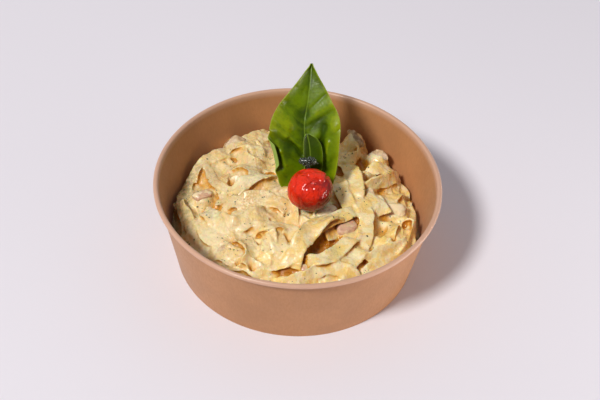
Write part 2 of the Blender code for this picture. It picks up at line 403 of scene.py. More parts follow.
def pasta_finish(cream, noodle, bare_and_shade, browned):
    """Noodles under cream sauce: pale and wet on top, golden where the sauce has run off, and darker
    golden-brown in hollows and undersides as painted shade.
    """
    finish = Finish("creamy_pasta")
    # Share of bare noodle and painted shade, from how little sky a point sees and how far it faces down.
    bare_and_shade_share = finish.mask("bare_and_shade")
    cover = finish.mask("covered")
    clouds = finish.noise(7 * MM, detail=3)
    patches = finish.noise(5.5 * MM, detail=3)
    mottle = finish.noise(4.4 * MM, detail=4, roughness=0.6)
    curds = finish.noise(2.0 * MM, detail=3)
    grain = finish.noise(1.1 * MM, detail=4)
    yellow = finish.sum(finish.step(clouds, 0.38, 0.64, 0.0, 0.6), finish.mask("noodle"))
    base = finish.blend(yellow, cream, noodle)
    whiter = finish.times(finish.step(patches, 0.42, 0.60), finish.step(cover, 0.0, 1.0, 0.7, 0.6))
    whiter = finish.sum(whiter, finish.mask("pooled"))
    base = finish.blend(finish.step(whiter, 0.0, 1.0), base, paint(246, 230, 184))
    warm = finish.times(finish.step(mottle, 0.50, 0.72), finish.step(cover, 0.0, 1.0, 0.05, 0.40))
    base = finish.blend(warm, base, paint(236, 188, 122))
    # Golden in hollows and undersides: bare noodle with painted shade, and the deepest hollows painted dark
    # golden-brown as shade.
    base = finish.blend(finish.step(bare_and_shade_share, 0.15, 0.65), base, bare_and_shade)
    base = finish.blend(finish.step(bare_and_shade_share, 0.60, 1.0, 0.0, 0.9), base, paint(180, 110, 20))
    toasted = finish.times(finish.mask("browned"), finish.step(grain, 0.40, 0.60))
    base = finish.blend(toasted, base, browned)
    green = finish.times(finish.mask("green"), finish.step(curds, 0.42, 0.62))
    base = finish.blend(green, base, paint(196, 186, 128))
    speck = finish.noise(0.9 * MM, detail=1)
    base = finish.blend(finish.step(speck, 0.73, 0.80, 0.0, 0.3), base, paint(170, 132, 80))
    height = finish.sum(finish.times(curds, 0.6), finish.times(grain, 0.4))
    height = finish.times(height, finish.step(cover, 0.0, 1.0, 0.85, 1.0))
    normal = finish.bump(height, 0.9 * MM)
    wet = finish.noise(3.4 * MM, detail=2)
    rough = finish.step(wet, 0.38, 0.62, 0.18, 0.44)
    finish.surface(Base_Color=base, Roughness=rough, Normal=normal)
    finish.surface(Subsurface_Weight=0.45, Subsurface_Radius=(1.0, 0.55, 0.18), Subsurface_Scale=2.4 * MM)
    finish.surface(Specular_IOR_Level=0.5, Coat_Weight=0.25, Coat_Roughness=0.18)
    return finish.material


def tomato_finish(light, deep):
    """Tight roasted tomato skin, glossy, orange-red on the upper left and deeper red towards the lower
    right, away from the key light, as painted shade.
    """
    finish = Finish("tomato_skin")
    clouds = finish.noise(7 * MM, detail=3)
    # Deeper red on the side away from the key light is painted shade; the clouds add random tone.
    shade = finish.sum(finish.mask("shaded_side"), finish.step(clouds, 0.3, 0.7, -0.25, 0.25))
    base = finish.blend(finish.step(shade, 0.15, 0.85), light, deep)
    # Furrows are painted darker red: painted shade in the wrinkles.
    base = finish.blend(finish.times(finish.mask("furrow_shade"), 0.25), base, [0.5 * c for c in deep])
    wrinkles = finish.noise(2.4 * MM, detail=3, distortion=1.6)
    normal = finish.bump(wrinkles, 1.2 * MM)
    finish.surface(Base_Color=base, Roughness=0.4, Normal=normal, Specular_IOR_Level=0.12)
    finish.surface(Coat_Weight=0.7, Coat_Roughness=0.12)
    return finish.material


def leaf_finish(name, green, dark, edge, underside, vein_gap):
    """Basil leaf: pale ribs, quilted blade with painted shade in its valleys and painted highlights on its
    ridges and upper left, yellow-green margins and a matt pale underside.
    """
    finish = Finish(name)
    across = finish.mask("leaf_across")
    along = finish.mask("leaf_along")
    width = finish.sum(across, 0.0, "ABSOLUTE")
    climb = finish.sum(along, finish.times(width, VEIN_SLOPE), "SUBTRACT")
    climb = finish.sum(climb, finish.step(across, -0.2 * MM, 0.2 * MM, 0.0, 0.42 * vein_gap))
    wobble = finish.step(finish.noise(8 * MM, detail=1), 0.3, 0.7, -1.6 * MM, 1.6 * MM)
    rung = finish.sum(finish.sum(climb, wobble), vein_gap / 2, "PINGPONG")
    rib = finish.step(width, 0.15 * MM, 0.5 * MM, 1.0, 0.0)
    branch = finish.step(rung, 0.06 * MM, 0.42 * MM, 0.55, 0.0)
    clouds = finish.noise(9 * MM, detail=4)
    cells = finish.noise(1.6 * MM, detail=3)
    # The relief paints shade: valleys darker, ridges lighter.
    shade = finish.sum(finish.mask("relief"), finish.step(clouds, 0.3, 0.7, -0.16, 0.16))
    # A painted highlight on the upper left half of the blade.
    left = finish.step(across, -14 * MM, -3 * MM, 0.35, 0.0)
    shade = finish.sum(shade, finish.times(left, finish.step(along, 32 * MM, 46 * MM)))
    base = finish.blend(finish.step(shade, 0.22, 0.72), dark, green)
    # The highest ridges are painted towards yellow-green as a highlight.
    base = finish.blend(finish.step(shade, 0.72, 1.0, 0.0, 0.55), base, edge)
    base = finish.blend(finish.step(cells, 0.45, 0.75, 0.0, 0.3), base, [0.7 * c for c in dark])
    base = finish.blend(finish.mask("leaf_edge"), base, edge)
    base = finish.blend(finish.times(branch, 0.15), base, edge)
    base = finish.blend(finish.times(rib, 0.45), base, paint(132, 158, 50))
    base = finish.blend(finish.mask("underside"), base, underside)
    normal = finish.bump(cells, 0.12 * MM)
    rough = finish.step(finish.noise(5 * MM, detail=2), 0.3, 0.7, 0.28, 0.42)
    rough = finish.sum(rough, finish.times(finish.mask("underside"), 0.2))
    finish.surface(Base_Color=base, Roughness=rough, Normal=normal)
    finish.surface(Specular_IOR_Level=0.22, Subsurface_Weight=0.12, Subsurface_Scale=0.8 * MM)
    finish.surface(Subsurface_Radius=(0.35, 1.0, 0.05), Coat_Weight=0.04, Coat_Roughness=0.2)
    return finish.material


def bud_finish(colour):
    """Dark wet buds with near-black creases."""
    finish = Finish("basil_bud")
    grain = finish.noise(0.7 * MM, detail=3)
    base = finish.blend(finish.step(grain, 0.4, 0.65), colour, paint(70, 84, 66))
    finish.surface(Base_Color=base, Roughness=0.28, Normal=finish.bump(grain, 0.2 * MM))
    finish.surface(Coat_Weight=0.5, Coat_Roughness=0.12)
    return finish.material


def chicken_finish(meat, cream):
    """Poached chicken: pinkish fibres at the sides, under cream on top."""
    finish = Finish("chicken")
    fibres = finish.noise(1.1 * MM, detail=4, place=finish.stretched((0.3, 1.0, 1.0), (0, 0, 0.5)))
    patches = finish.noise(4 * MM, detail=4)
    coat = finish.sum(finish.mask("coated"), finish.step(patches, 0.35, 0.65, -0.3, 0.3))
    base = finish.blend(finish.step(fibres, 0.35, 0.7), [0.82 * c for c in meat], meat)
    base = finish.blend(finish.step(coat, 0.35, 0.65), base, cream)
    yellow = finish.step(finish.noise(3 * MM, detail=3), 0.45, 0.7, 0.0, 0.6)
    base = finish.blend(yellow, base, paint(232, 204, 146))
    rough = finish.step(fibres, 0.3, 0.7, 0.25, 0.5)
    finish.surface(Base_Color=base, Roughness=rough, Normal=finish.bump(fibres, 0.4 * MM))
    finish.surface(Subsurface_Weight=0.3, Subsurface_Radius=(1.0, 0.5, 0.3), Subsurface_Scale=1.5 * MM)
    finish.surface(Coat_Weight=0.35, Coat_Roughness=0.14)
    return finish.material


def mushroom_finish(flesh, skin, cream):
    """Cooked mushroom: pale flesh, brown skin and dark gills, glazed with cream."""
    finish = Finish("mushroom")
    grain = finish.noise(1.3 * MM, detail=4)
    base = finish.blend(finish.step(grain, 0.35, 0.7), flesh, [0.82 * c for c in flesh])
    base = finish.blend(finish.mask("skin"), base, skin)
    base = finish.blend(finish.mask("gills"), base, paint(96, 76, 52))
    glaze = finish.step(finish.noise(4 * MM, detail=3), 0.40, 0.60, 0.0, 0.8)
    base = finish.blend(glaze, base, cream)
    finish.surface(Base_Color=base, Roughness=0.36, Normal=finish.bump(grain, 0.25 * MM))
    finish.surface(Subsurface_Weight=0.25, Subsurface_Radius=(1.0, 0.7, 0.4), Subsurface_Scale=1.2 * MM)
    finish.surface(Coat_Weight=0.25, Coat_Roughness=0.18)
    return finish.material


def fleck_finish(name, dark, light):
    """Dried flecks, uneven in tone."""
    finish = Finish(name)
    tone = finish.noise(1.7 * MM, detail=2)
    base = finish.blend(finish.step(tone, 0.35, 0.65), dark, light)
    finish.surface(Base_Color=base, Roughness=0.55, Normal=finish.bump(tone, 0.1 * MM))
    return finish.material


def floor_finish(colour):
    """Plain pale studio floor with the faintest mottling."""
    finish = Finish("studio_floor")
    clouds = finish.noise(0.35, detail=2)
    base = finish.blend(finish.step(clouds, 0.3, 0.7), colour, [0.985 * c for c in colour])
    finish.surface(Base_Color=base, Roughness=0.75, Specular_IOR_Level=0.2)
    return finish.material


# ---------------------------------------------------------------- bowl


def wall_radius(height):
    """Inner radius of the bowl's wall at a height above the table."""
    paper = bpy.context.scene.alfredo_bowl.paper
    share = np.asarray(height) / (BOWL_HEIGHT - CURL_RADIUS)
    top = RIM_RADIUS - 2 * CURL_RADIUS
    return (FOOT_RADIUS - paper) * (1 - share) + top * share


def arc(centre, radius, first, last, steps):
    """Points of an arc in the profile's plane, both ends included."""
    angles = [first + (last - first) * step / steps for step in range(steps + 1)]
    return [(centre[0] + radius * math.cos(a), centre[1] + radius * math.sin(a)) for a in angles]


def line(first, last, steps):
    """Points of a straight run, without its last point."""
    shares = [step / steps for step in range(steps)]
    return [tuple(a + (b - a) * share for a, b in zip(first, last)) for share in shares]


def bowl_section(paper):
    """The bowl's section, from the floor's middle over the rolled rim to the underside's middle."""
    floor_top = BASE_LIFT + paper
    curl_centre = (RIM_RADIUS - CURL_RADIUS, BOWL_HEIGHT - CURL_RADIUS)
    curl_end = math.pi - CURL_SWEEP
    foot_inner = FOOT_RADIUS - FOOT_WIDTH
    fillet_centre = (wall_radius(floor_top) - FLOOR_FILLET, floor_top + FLOOR_FILLET)
    section = line((0.0, floor_top), (fillet_centre[0], floor_top), 10)
    section += arc(fillet_centre, FLOOR_FILLET, -math.pi / 2, 0.0, 4)
    section += line(section[-1], (curl_centre[0] - CURL_RADIUS, curl_centre[1]), 16)[1:]
    section += arc(curl_centre, CURL_RADIUS, math.pi, curl_end, 22)
    section += arc(curl_centre, CURL_RADIUS - paper, curl_end, math.pi, 14)
    section += line(section[-1], (FOOT_RADIUS, FOOT_ROUNDING), 16)[1:]
    section += arc((FOOT_RADIUS - FOOT_ROUNDING, FOOT_ROUNDING), FOOT_ROUNDING, 0.0, -math.pi / 2, 4)
    section += arc((foot_inner + FOOT_ROUNDING, FOOT_ROUNDING), FOOT_ROUNDING, -math.pi / 2, -math.pi, 4)
    section += line((foot_inner, FOOT_ROUNDING), (foot_inner, BASE_LIFT), 3)[1:]
    section += line((foot_inner, BASE_LIFT), (0.0, BASE_LIFT), 10)
    section.append((0.0, BASE_LIFT))
    return section


def build_bowl(settings):
    """The paper bowl, turned from its section, with the wall's paper lapped over itself at the back."""
    section = bowl_section(settings.paper)
    rows = len(section) - 2
    points = turn_round(section[1:-1], settings.steps)
    points += [(0.0, 0.0, section[0][1]), (0.0, 0.0, section[-1][1])]
    faces = grid_faces(rows, settings.steps, closed=True)
    close_ends(faces, settings.steps, (rows - 1) * settings.steps, len(points) - 2, len(points) - 1)
    bowl = new_object("paper_bowl", points, faces, paper_finish(settings.colour))
    face_outward(bowl.data)
    spots = read_points(bowl.data)
    bearing = np.degrees(np.arctan2(spots[:, 1], spots[:, 0]))
    radius = np.hypot(spots[:, 0], spots[:, 1])
    outer = radius > wall_radius(spots[:, 2]) + 0.4 * settings.paper
    lapped = outer & (spots[:, 2] < BOWL_HEIGHT - 3 * CURL_RADIUS)
    lapped &= (bearing > LAP_START) & (bearing < LAP_END)
    waver = lattice_noise(spots, 26 * MM, 3) * 0.12 * MM
    lap = LAP_STEP * lapped * (spots[:, 2] > 1.0 * MM)
    waver *= smoothstep(6 * MM, 30 * MM, spots[:, 2])
    spots[:, :2] *= (1 + (lap + waver) / np.maximum(radius, MM))[:, None]
    write_points(bowl.data, spots)
    # Mask of the rolled rim's top, where the paper finish paints a paler highlight.
    rim = smoothstep(BOWL_HEIGHT - 1.7 * CURL_RADIUS, BOWL_HEIGHT - 0.9 * CURL_RADIUS, spots[:, 2])
    write_attribute(bowl.data, "rim", rim)
    hand_in(bowl, ["bowl"])


# ---------------------------------------------------------------- noodles

# Noodles on top: plan points and lift in millimetres; roll in degrees at start, middle and end; width.
TOP_NOODLES = (
    (((-64, 6), (-59, -6), (-54, -17), (-47, -28)), 1.0, (20, 35, 20), 0.9),
    (((-58, 20), (-54, 30), (-44, 38), (-36, 44)), 1.0, (0, 10, 0), 0.9),
    (((-43, 41), (-35, 45), (-28, 45), (-20, 37)), 1.0, (0, 15, 10), 0.8),
    (((-35, 4), (-28, 9), (-19, 14), (-12, 19)), 1.5, (0, 6, 0), 1.1),
    (((-40, -2), (-30, -4), (-21, -2), (-11, -5), (-3, -9)), 1.0, (0, 8, 0), 1.0),
    (((-42, -34), (-35, -39), (-27, -42), (-20, -45), (-13, -50)), 1.0, (0, 20, 10), 1.0),
    (((-51, -9), (-48, -18), (-44, -26), (-37, -30), (-31, -30)), 1.0, (10, 25, 10), 1.0),
    (((-40, -29), (-34, -36), (-28, -39), (-19, -44)), 1.5, (0, 10, 0), 0.9),
    (((-30, -27), (-24, -33), (-22, -40), (-26, -46)), 1.5, (-10, -20, -10), 1.0),
    (((-50, -5), (-43, -14), (-35, -21), (-28, -21), (-21, -16), (-14, -12)), 2.5, (5, 28, 10), 1.15),
    (((-16, -21), (-13, -28), (-13, -35), (-16, -43)), 1.5, (0, 12, -5), 1.0),
    (((-24, -22), (-15, -23), (-6, -22), (0, -25), (1, -32), (-3, -38)), 2.0, (10, 0, 10), 0.95),
    (((50, -33), (43, -40), (35, -47)), 0.5, (0, 0, 0), 1.0),
    (((29, -50), (35, -45), (42, -38), (49, -34), (57, -27)), 0.5, (20, 30, 20), 0.95),
    (((-6, -57), (1, -53), (8, -49), (14, -45), (21, -44), (28, -45), (33, -48)), 2.0, (30, 52, 35), 1.0),
    (((24, -46), (28, -39), (32, -32), (36, -25)), 1.0, (12, -8, -14), 1.1),
    (((-13, -24), (-9, -30), (-7, -37), (-9, -44)), 0.5, (-10, 14, 0), 1.1),
    (((57, -8), (55, -16), (50, -24), (46, -30)), 1.0, (15, -20, 12), 0.85),
    (((52, -6), (51, -13), (48, -21), (43, -28)), 1.5, (-8, 24, -12), 0.8),
    (((38, -36), (43, -31), (50, -27), (57, -22), (62, -15)), 2.0, (35, 58, 40), 0.9),
    (((55, -4), (61, -4), (65, -10), (64, -18), (58, -26), (51, -32)), 1.5, (-20, -50, -30), 0.8),
    (((27, 4), (32, 0), (36, -7), (37, -15), (36, -23), (33, -29)), 2.0, (14, -22, 12), 1.0),
    (((33, 6), (38, 3), (43, -1), (46, -6)), 1.5, (20, -10, 15), 1.15),
    (((21, 17), (23, 6), (27, -3), (29, -11)), 1.0, (10, -10, 0), 1.0),
    (((25, 35), (29, 23), (31, 11), (30, 0)), 1.5, (15, 25, 10), 1.05),
    (((22, 41), (28, 35), (33, 45), (31, 56)), 1.0, (20, 40, 30), 0.85),
    (((37, 26), (44, 32), (51, 33), (56, 28)), 1.5, (20, 35, 20), 0.9),
    (((35, 11), (42, 16), (49, 22), (55, 31)), 2.5, (40, 55, 40), 0.95),
    (((4, -41), (11, -42), (17, -40), (22, -34), (27, -27), (32, -21)), 2.5, (25, 15, 0), 1.0),
    (((4, -28), (10, -24), (17, -18), (25, -12), (33, -6)), 2.5, (0, -12, 0), 0.95),
    (((22, -13), (15, -18), (9, -24), (4, -31), (1, -38), (-2, -45)), 2.5, (-5, 0, 5), 1.15),
)

# Hollows between the noodles: plan point, radius and depth in millimetres.
HOLLOWS = (
    ((12, -31), 4.5, 7.0),
    ((18, -26), 4.5, 7.0),
    ((25, -16), 3.5, 6.0),
    ((20, -36), 4.0, 5.0),
    ((-20, -28), 3.2, 6.0),
    ((41, -33), 4.0, 5.5),
    ((59, -10), 2.8, 6.0),
    ((44, -10), 3.0, 6.0),
    ((41, -15), 2.6, 6.0),
    ((38, -24), 2.4, 5.0),
    ((43, 14), 3.5, 4.5),
    ((-57, -9), 2.2, 5.0),
    ((-62, -4), 2.0, 4.0),
    ((-27, -44), 2.0, 4.0),
    ((-21, -44), 2.4, 4.0),
    ((-1, -30), 2.6, 4.0),
    ((25, -45), 3.0, 4.0),
    ((64, 2), 3.0, 4.0),
)

# Narrow pits in the sauce: plan point, radius and depth in millimetres.
PITS = (
    ((-36, 4), 1.1, 3.5),
    ((-34, -15), 1.0, 2.0),
    ((-62, -14), 1.6, 4.0),
    ((-63, -5), 1.3, 3.0),
    ((-28, -43), 1.3, 3.5),
    ((-21, -45), 2.0, 4.0),
    ((-48, 42), 1.4, 2.0),
    ((-19, 24), 1.6, 2.5),
    ((60, 20), 2.0, 4.5),
    ((33, 27), 1.4, 3.0),
    ((51, -20), 1.4, 3.0),
)

# Toasted patches of cheese: plan point and radius in millimetres, then strength.
TOASTED = (
    ((-47, 38), 6, 0.5),
    ((-41, 19), 7, 0.7),
    ((-21, 31), 5, 0.9),
    ((-20, 5), 6, 0.7),
    ((-25, -4), 7, 0.7),
    ((-33, -30), 7, 0.5),
    ((-10, -2), 5, 0.5),
    ((34, 2), 4, 0.4),
    ((36, 24), 4, 0.4),
    ((66, -4), 5, 0.6),
)

# Pools of pale sauce: plan point and radius in millimetres.
POOLS = (
    ((-27, 13), 9),
    ((-46, -8), 7),
    ((-42, -26), 7),
    ((55, 29), 4),
    ((47, 3), 5),
    ((18, -4), 4),
    ((40, 42), 4),
    ((30, -34), 4),
)


def mound_height(x, y):
    """Height of the heap without its noodles: a low mound, higher at the back."""
    share = np.minimum(1.0, np.hypot(x, y) / wall_radius(HEAP_EDGE))
    bearing = np.arctan2(y, x)
    edge = HEAP_EDGE + HEAP_BACK_RISE * np.sin(bearing) + 1.2 * MM * np.sin(3 * bearing + 0.6)
    return edge + (HEAP_CROWN - edge) * (1 - share**2.2)


def cover_share(x, y):
    """How thickly the sauce covers the noodles: 1 at the left and back, 0 at the right."""
    lean = -x + 0.35 * y
    return smoothstep(-16 * MM, 22 * MM, lean)


class HeapMap:
    """Heights over the bowl's plan, on a square grid."""

    def __init__(self):
        axis = np.arange(-GRID_REACH, GRID_REACH + GRID_PITCH, GRID_PITCH)
        self.x, self.y = np.meshgrid(axis, axis, indexing="ij")
        self.heights = mound_height(self.x, self.y) - CORE_DEPTH

    def cells(self, spots):
        """Grid cells of plan points."""
        last = len(self.heights) - 1
        cells = np.rint((spots + GRID_REACH) / GRID_PITCH).astype(int)
        cells = np.clip(cells, 0, last)
        return cells[..., 0], cells[..., 1]

    def at(self, spots):
        """Heights at plan points."""
        return self.heights[self.cells(spots)]

    def raise_to(self, spots, heights):
        """Lift the map to at least these heights at plan points."""
        np.maximum.at(self.heights, self.cells(spots), heights)

    def blurred(self, width):
        """The heights averaged over a soft round window."""
        reach = int(3 * width / GRID_PITCH)
        steps = np.arange(-reach, reach + 1)
        kernel = np.exp(-0.5 * (steps * GRID_PITCH / width) ** 2)
        kernel /= kernel.sum()
        soft = np.pad(self.heights, reach, mode="edge")
        soft = np.apply_along_axis(np.convolve, 0, soft, kernel, "valid")
        return np.apply_along_axis(np.convolve, 1, soft, kernel, "valid")


def smoothed(values, width):
    """A list of numbers averaged along its length, over a window of so many steps."""
    reach = int(3 * width)
    kernel = np.exp(-0.5 * (np.arange(-reach, reach + 1) / width) ** 2)
    return np.convolve(np.pad(values, reach, mode="edge"), kernel / kernel.sum(), "valid")


def keep_inside(plan, width):
    """Push plan points inward where a noodle of this width would touch the wall."""
    reach = wall_radius(HEAP_EDGE - 5 * MM) - 0.5 * width - 0.4 * MM
    radius = np.hypot(plan[:, 0], plan[:, 1])
    return plan * np.minimum(1.0, reach / np.maximum(radius, MM))[:, None]


def wandering_line(draw, reach):
    """Plan points of a noodle that bends softly to and fro and keeps inside the bowl."""
    bearing = draw.uniform(0, math.tau)
    spread = reach * math.sqrt(draw.random())
    place = np.array((spread * math.cos(bearing), spread * math.sin(bearing)))
    heading = draw.uniform(0, math.tau)
    bend = draw.choice((-1, 1)) / (draw.uniform(14, 50) * MM)
    swing = draw.uniform(15, 65)
    wave = draw.uniform(6, 13) * MM
    phase = draw.uniform(0, math.tau)
    steps = int(draw.uniform(45, 120) * MM / LINE_STEP)
    points = []
    for step in range(steps):
        points.append(place.copy())
        ahead = np.array((math.cos(heading), math.sin(heading)))
        radius = np.hypot(*place)
        turn = bend + swing * math.sin(step * LINE_STEP / wave + phase)
        outward = ahead @ place / max(radius, MM)
        if radius > 0.8 * reach and outward > -0.15:
            side = math.copysign(1, ahead[1] * place[0] - ahead[0] * place[1])
            turn = side * 120 * min(1.5, (radius / reach - 0.8) * 5)
        heading += turn * LINE_STEP
        place = place + ahead * LINE_STEP
    return np.array(points)


def through_points(points):
    """Evenly spaced plan points of a soft curve through a few points given in millimetres."""
    spots = np.array(points, float) * MM
    spots = np.vstack((2 * spots[0] - spots[1], spots, 2 * spots[-1] - spots[-2]))
    curve = []
    for before, first, last, after in zip(spots, spots[1:], spots[2:], spots[3:]):
        for share in np.linspace(0, 1, 12, endpoint=False):
            bend = 2 * before - 5 * first + 4 * last - after
            twist = 3 * first - before - 3 * last + after
            curve.append(first + 0.5 * share * ((last - before) + share * (bend + share * twist)))
    curve = np.array(curve + [spots[-2]])
    lengths = np.concatenate(([0], np.cumsum(np.linalg.norm(np.diff(curve, axis=0), axis=1))))
    even = np.arange(0, lengths[-1], LINE_STEP)
    return np.stack([smoothed(np.interp(even, lengths, curve[:, axis]), 3) for axis in (0, 1)], axis=1)


def highest_near(values, reach):
    """Each number replaced by the highest within so many steps of it."""
    padded = np.pad(values, reach, mode="edge")
    return np.lib.stride_tricks.sliding_window_view(padded, 2 * reach + 1).max(axis=1)


def sides_of(plan):
    """Unit vectors to the left of a plan line."""
    ahead = np.gradient(plan, axis=0)
    ahead /= np.maximum(np.linalg.norm(ahead, axis=1, keepdims=True), 1e-9)
    return np.stack((-ahead[:, 1], ahead[:, 0]), axis=1)


def rest_noodle(heap, plan, width, lift, roll):
    """Where a noodle along plan points would come to rest on the heap: its heights and its roll."""
    left = sides_of(plan)
    across = np.linspace(-0.5, 0.5, 7) * width
    under = heap.at(plan[:, None] + left[:, None] * across[:, None])
    slope = (under * across).sum(axis=1) / (across**2).sum()
    roll = roll + 0.7 * np.arctan(np.clip(smoothed(slope, 8), -0.6, 0.6))
    reach = across * np.cos(roll)[:, None]
    under = heap.at(plan[:, None] + left[:, None] * reach[..., None])
    need = under - across * np.sin(roll)[:, None]
    need = 0.6 * need.max(axis=1) + 0.4 * need.mean(axis=1)
    return smoothed(highest_near(need, 4), 5) + NOODLE_THICKNESS / 2 + lift, roll


def press_noodle(heap, plan, heights, width, roll):
    """Raise the heap to the top of a noodle that has come to rest."""
    left = sides_of(plan)
    fine = np.linspace(-0.5, 0.5, 17) * width
    spots = plan[:, None] + left[:, None] * (fine * np.cos(roll)[:, None])[..., None]
    heap.raise_to(spots, heights[:, None] + fine * np.sin(roll)[:, None] + NOODLE_THICKNESS / 2)


def uneven(count, number, share):
    """A factor round 1 for each step of a noodle, wandering by up to this share."""
    steps = np.arange(count) * LINE_STEP
    line_places = np.column_stack((steps, np.full(count, number * 0.1), np.zeros(count)))
    return 1 + share * lattice_noise(line_places, 8 * MM, 5)


def sink_ends(heights):
    """Let a noodle's ends dive into the heap."""
    steps = np.arange(len(heights)) * LINE_STEP
    start = smoothstep(DIVE_LENGTH, 0.0, steps)
    end = smoothstep(steps[-1] - DIVE_LENGTH, steps[-1], steps)
    return heights - DIVE * (start + end)


def away_from(spot, radius, x, y):
    """Distance of plan points from a spot given in millimetres, as a share of a radius."""
    return np.hypot(x - spot[0] * MM, y - spot[1] * MM) / (radius * MM)


def hollow_depth(x, y):
    """How far the hollows reach down at plan points."""
    depth = np.zeros(np.shape(x))
    for spot, radius, deep in HOLLOWS:
        depth = np.maximum(depth, deep * MM * np.exp(-(away_from(spot, radius, x, y) ** 2)))
    return depth


def toppings():
    """Centre and top of each chicken and mushroom piece."""
    spots = []
    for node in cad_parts:
        if node.startswith(("chicken", "mushroom")):
            low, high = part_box(node)
            spots.append(((low + high) / 2, high.z))
    return spots


def topping_share(x, y, centre, radius):
    """1 at a topping's middle, fading to 0 round it."""
    return np.exp(-(((x - centre.x) ** 2 + (y - centre.y) ** 2) / radius**2) ** 2)


def lay_noodle(heap, noodles, plan, width, lift, roll, headroom, pressed, share):
    """Rest one noodle on the heap, press what stands proud of the mound down, and note its path."""
    heights, roll = rest_noodle(heap, plan, width * NOODLE_WIDTH, lift, roll)
    proud = heights - mound_height(plan[:, 0], plan[:, 1]) - headroom
    heights = sink_ends(heights - np.maximum(proud, 0) * pressed)
    press_noodle(heap, plan, heights, width * NOODLE_WIDTH, roll)
    widths = width * uneven(len(plan), len(noodles), share)
    noodles.append((np.column_stack((plan, heights)), roll, widths))


def lay_heap(settings):
    """Lay all noodles, the hidden ones first; gives the height map and each noodle's path."""
    draw = random.Random(settings.seed)
    heap = HeapMap()
    target = mound_height(heap.x, heap.y) - 1.6 * MM - 1.2 * hollow_depth(heap.x, heap.y)
    for centre, _ in toppings():
        target -= 7 * MM * topping_share(heap.x, heap.y, centre, 6 * MM)
    noodles = []
    reach = wall_radius(HEAP_EDGE) - 0.5 * NOODLE_WIDTH
    for _ in range(settings.count):
        best = None
        best_gap = 0.4 * MM
        width = draw.uniform(0.66, 1.08)
        for _ in range(6):
            plan = keep_inside(wandering_line(draw, reach), width * NOODLE_WIDTH)
            gap = target[heap.cells(plan)] - heap.at(plan)
            score = np.clip(gap, -4 * MM, 4 * MM).mean() - 3 * MM * (gap < -0.8 * MM).mean()
            if score > best_gap:
                best, best_gap = plan, score
        wave = draw.uniform(6, 14) * MM
        swing = math.radians(draw.uniform(8, 42))
        phase = draw.uniform(0, math.tau)
        if best is None:
            continue
        roll = swing * np.sin(np.arange(len(best)) * LINE_STEP / wave + phase)
        lay_noodle(heap, noodles, best, width, 0.0, roll, 0.6 * MM, 0.8, 0.10)
    for _ in range(settings.curls):
        plan = wandering_line(draw, 0.95 * reach)
        steps = int(draw.uniform(14, 32) * MM / LINE_STEP)
        plan = keep_inside(plan[:steps], NOODLE_WIDTH)
        width = draw.uniform(0.7, 1.0)
        swing = math.radians(draw.uniform(20, 55))
        wave = draw.uniform(5, 9) * MM
        phase = draw.uniform(0, math.tau)
        if plan[:, 0].mean() < -10 * MM:
            continue
        roll = swing * np.sin(np.arange(len(plan)) * LINE_STEP / wave + phase)
        lay_noodle(heap, noodles, plan, width, 0.0, roll, 0.8 * MM, 0.8, 0.10)
    for points, lift, rolls, width in TOP_NOODLES:
        plan = keep_inside(through_points(points), width * NOODLE_WIDTH)
        share = np.linspace(0, 1, len(plan))
        number = len(noodles)
        roll = np.radians(smoothed(np.interp(share, (0, 0.5, 1), rolls), 5))
        roll += 0.55 * (uneven(len(plan), number + 0.3, 1.0) - 1)
        arch = lift * MM * np.sin(math.pi * share) ** 0.5
        arch += 0.5 * MM * (uneven(len(plan), number + 0.6, 1.0) - 1)
        lay_noodle(heap, noodles, plan, width, arch, roll, (lift + 1.0) * MM, 0.7, 0.16)
    return heap, noodles


def noodle_sweep(finish):
    """Geometry Nodes tree that sweeps a rounded flat section along each noodle's path."""
    inputs = (
        ("Noodle width", "NodeSocketFloat", NOODLE_WIDTH + 2 * SAUCE_COAT),
        ("Noodle thickness", "NodeSocketFloat", NOODLE_THICKNESS + 2 * SAUCE_COAT),
        ("Edge rounding", "NodeSocketFloat", 0.45 * NOODLE_THICKNESS),
        ("Edge droop", "NodeSocketFloat", EDGE_DROOP),
    )
    tree, group = start_tree("noodle_sweep", inputs)
    upright = add_node(tree, "GeometryNodeSetCurveNormal", {"Curve": group["Geometry"]}, mode="Z_UP")
    size = {"Width": group["Noodle width"], "Height": group["Noodle thickness"]}
    section = add_node(tree, "GeometryNodeCurvePrimitiveQuadrilateral", size, mode="RECTANGLE")
    corners = {"Curve": section["Curve"], "Count": 2, "Radius": group["Edge rounding"]}
    rounded = add_node(tree, "GeometryNodeFilletCurve", corners, mode="POLY")
    fine = add_node(tree, "GeometryNodeResampleCurve", {"Curve": rounded["Curve"], "Count": 20})
    place = add_node(tree, "GeometryNodeInputPosition")["Position"]
    across = add_node(tree, "ShaderNodeSeparateXYZ", {"Vector": place})["X"]
    square = add_node(tree, "ShaderNodeMath", {0: across, 1: across}, operation="MULTIPLY")[0]
    droop = add_node(tree, "ShaderNodeMath", {0: square, 1: group["Edge droop"]}, operation="MULTIPLY")[0]
    lower = add_node(tree, "ShaderNodeMath", {0: droop, 1: -1.0}, operation="MULTIPLY")[0]
    shift = add_node(tree, "ShaderNodeCombineXYZ", {"Y": lower})["Vector"]
    bowed = add_node(tree, "GeometryNodeSetPosition", {"Geometry": fine["Curve"], "Offset": shift})
    path = {
        "Curve": upright["Curve"],
        "Profile Curve": bowed["Geometry"],
        "Scale": add_node(tree, "GeometryNodeInputRadius")["Radius"],
        "Fill Caps": True,
    }
    end_tree(tree, add_node(tree, "GeometryNodeCurveToMesh", path)["Mesh"], finish)
    return tree


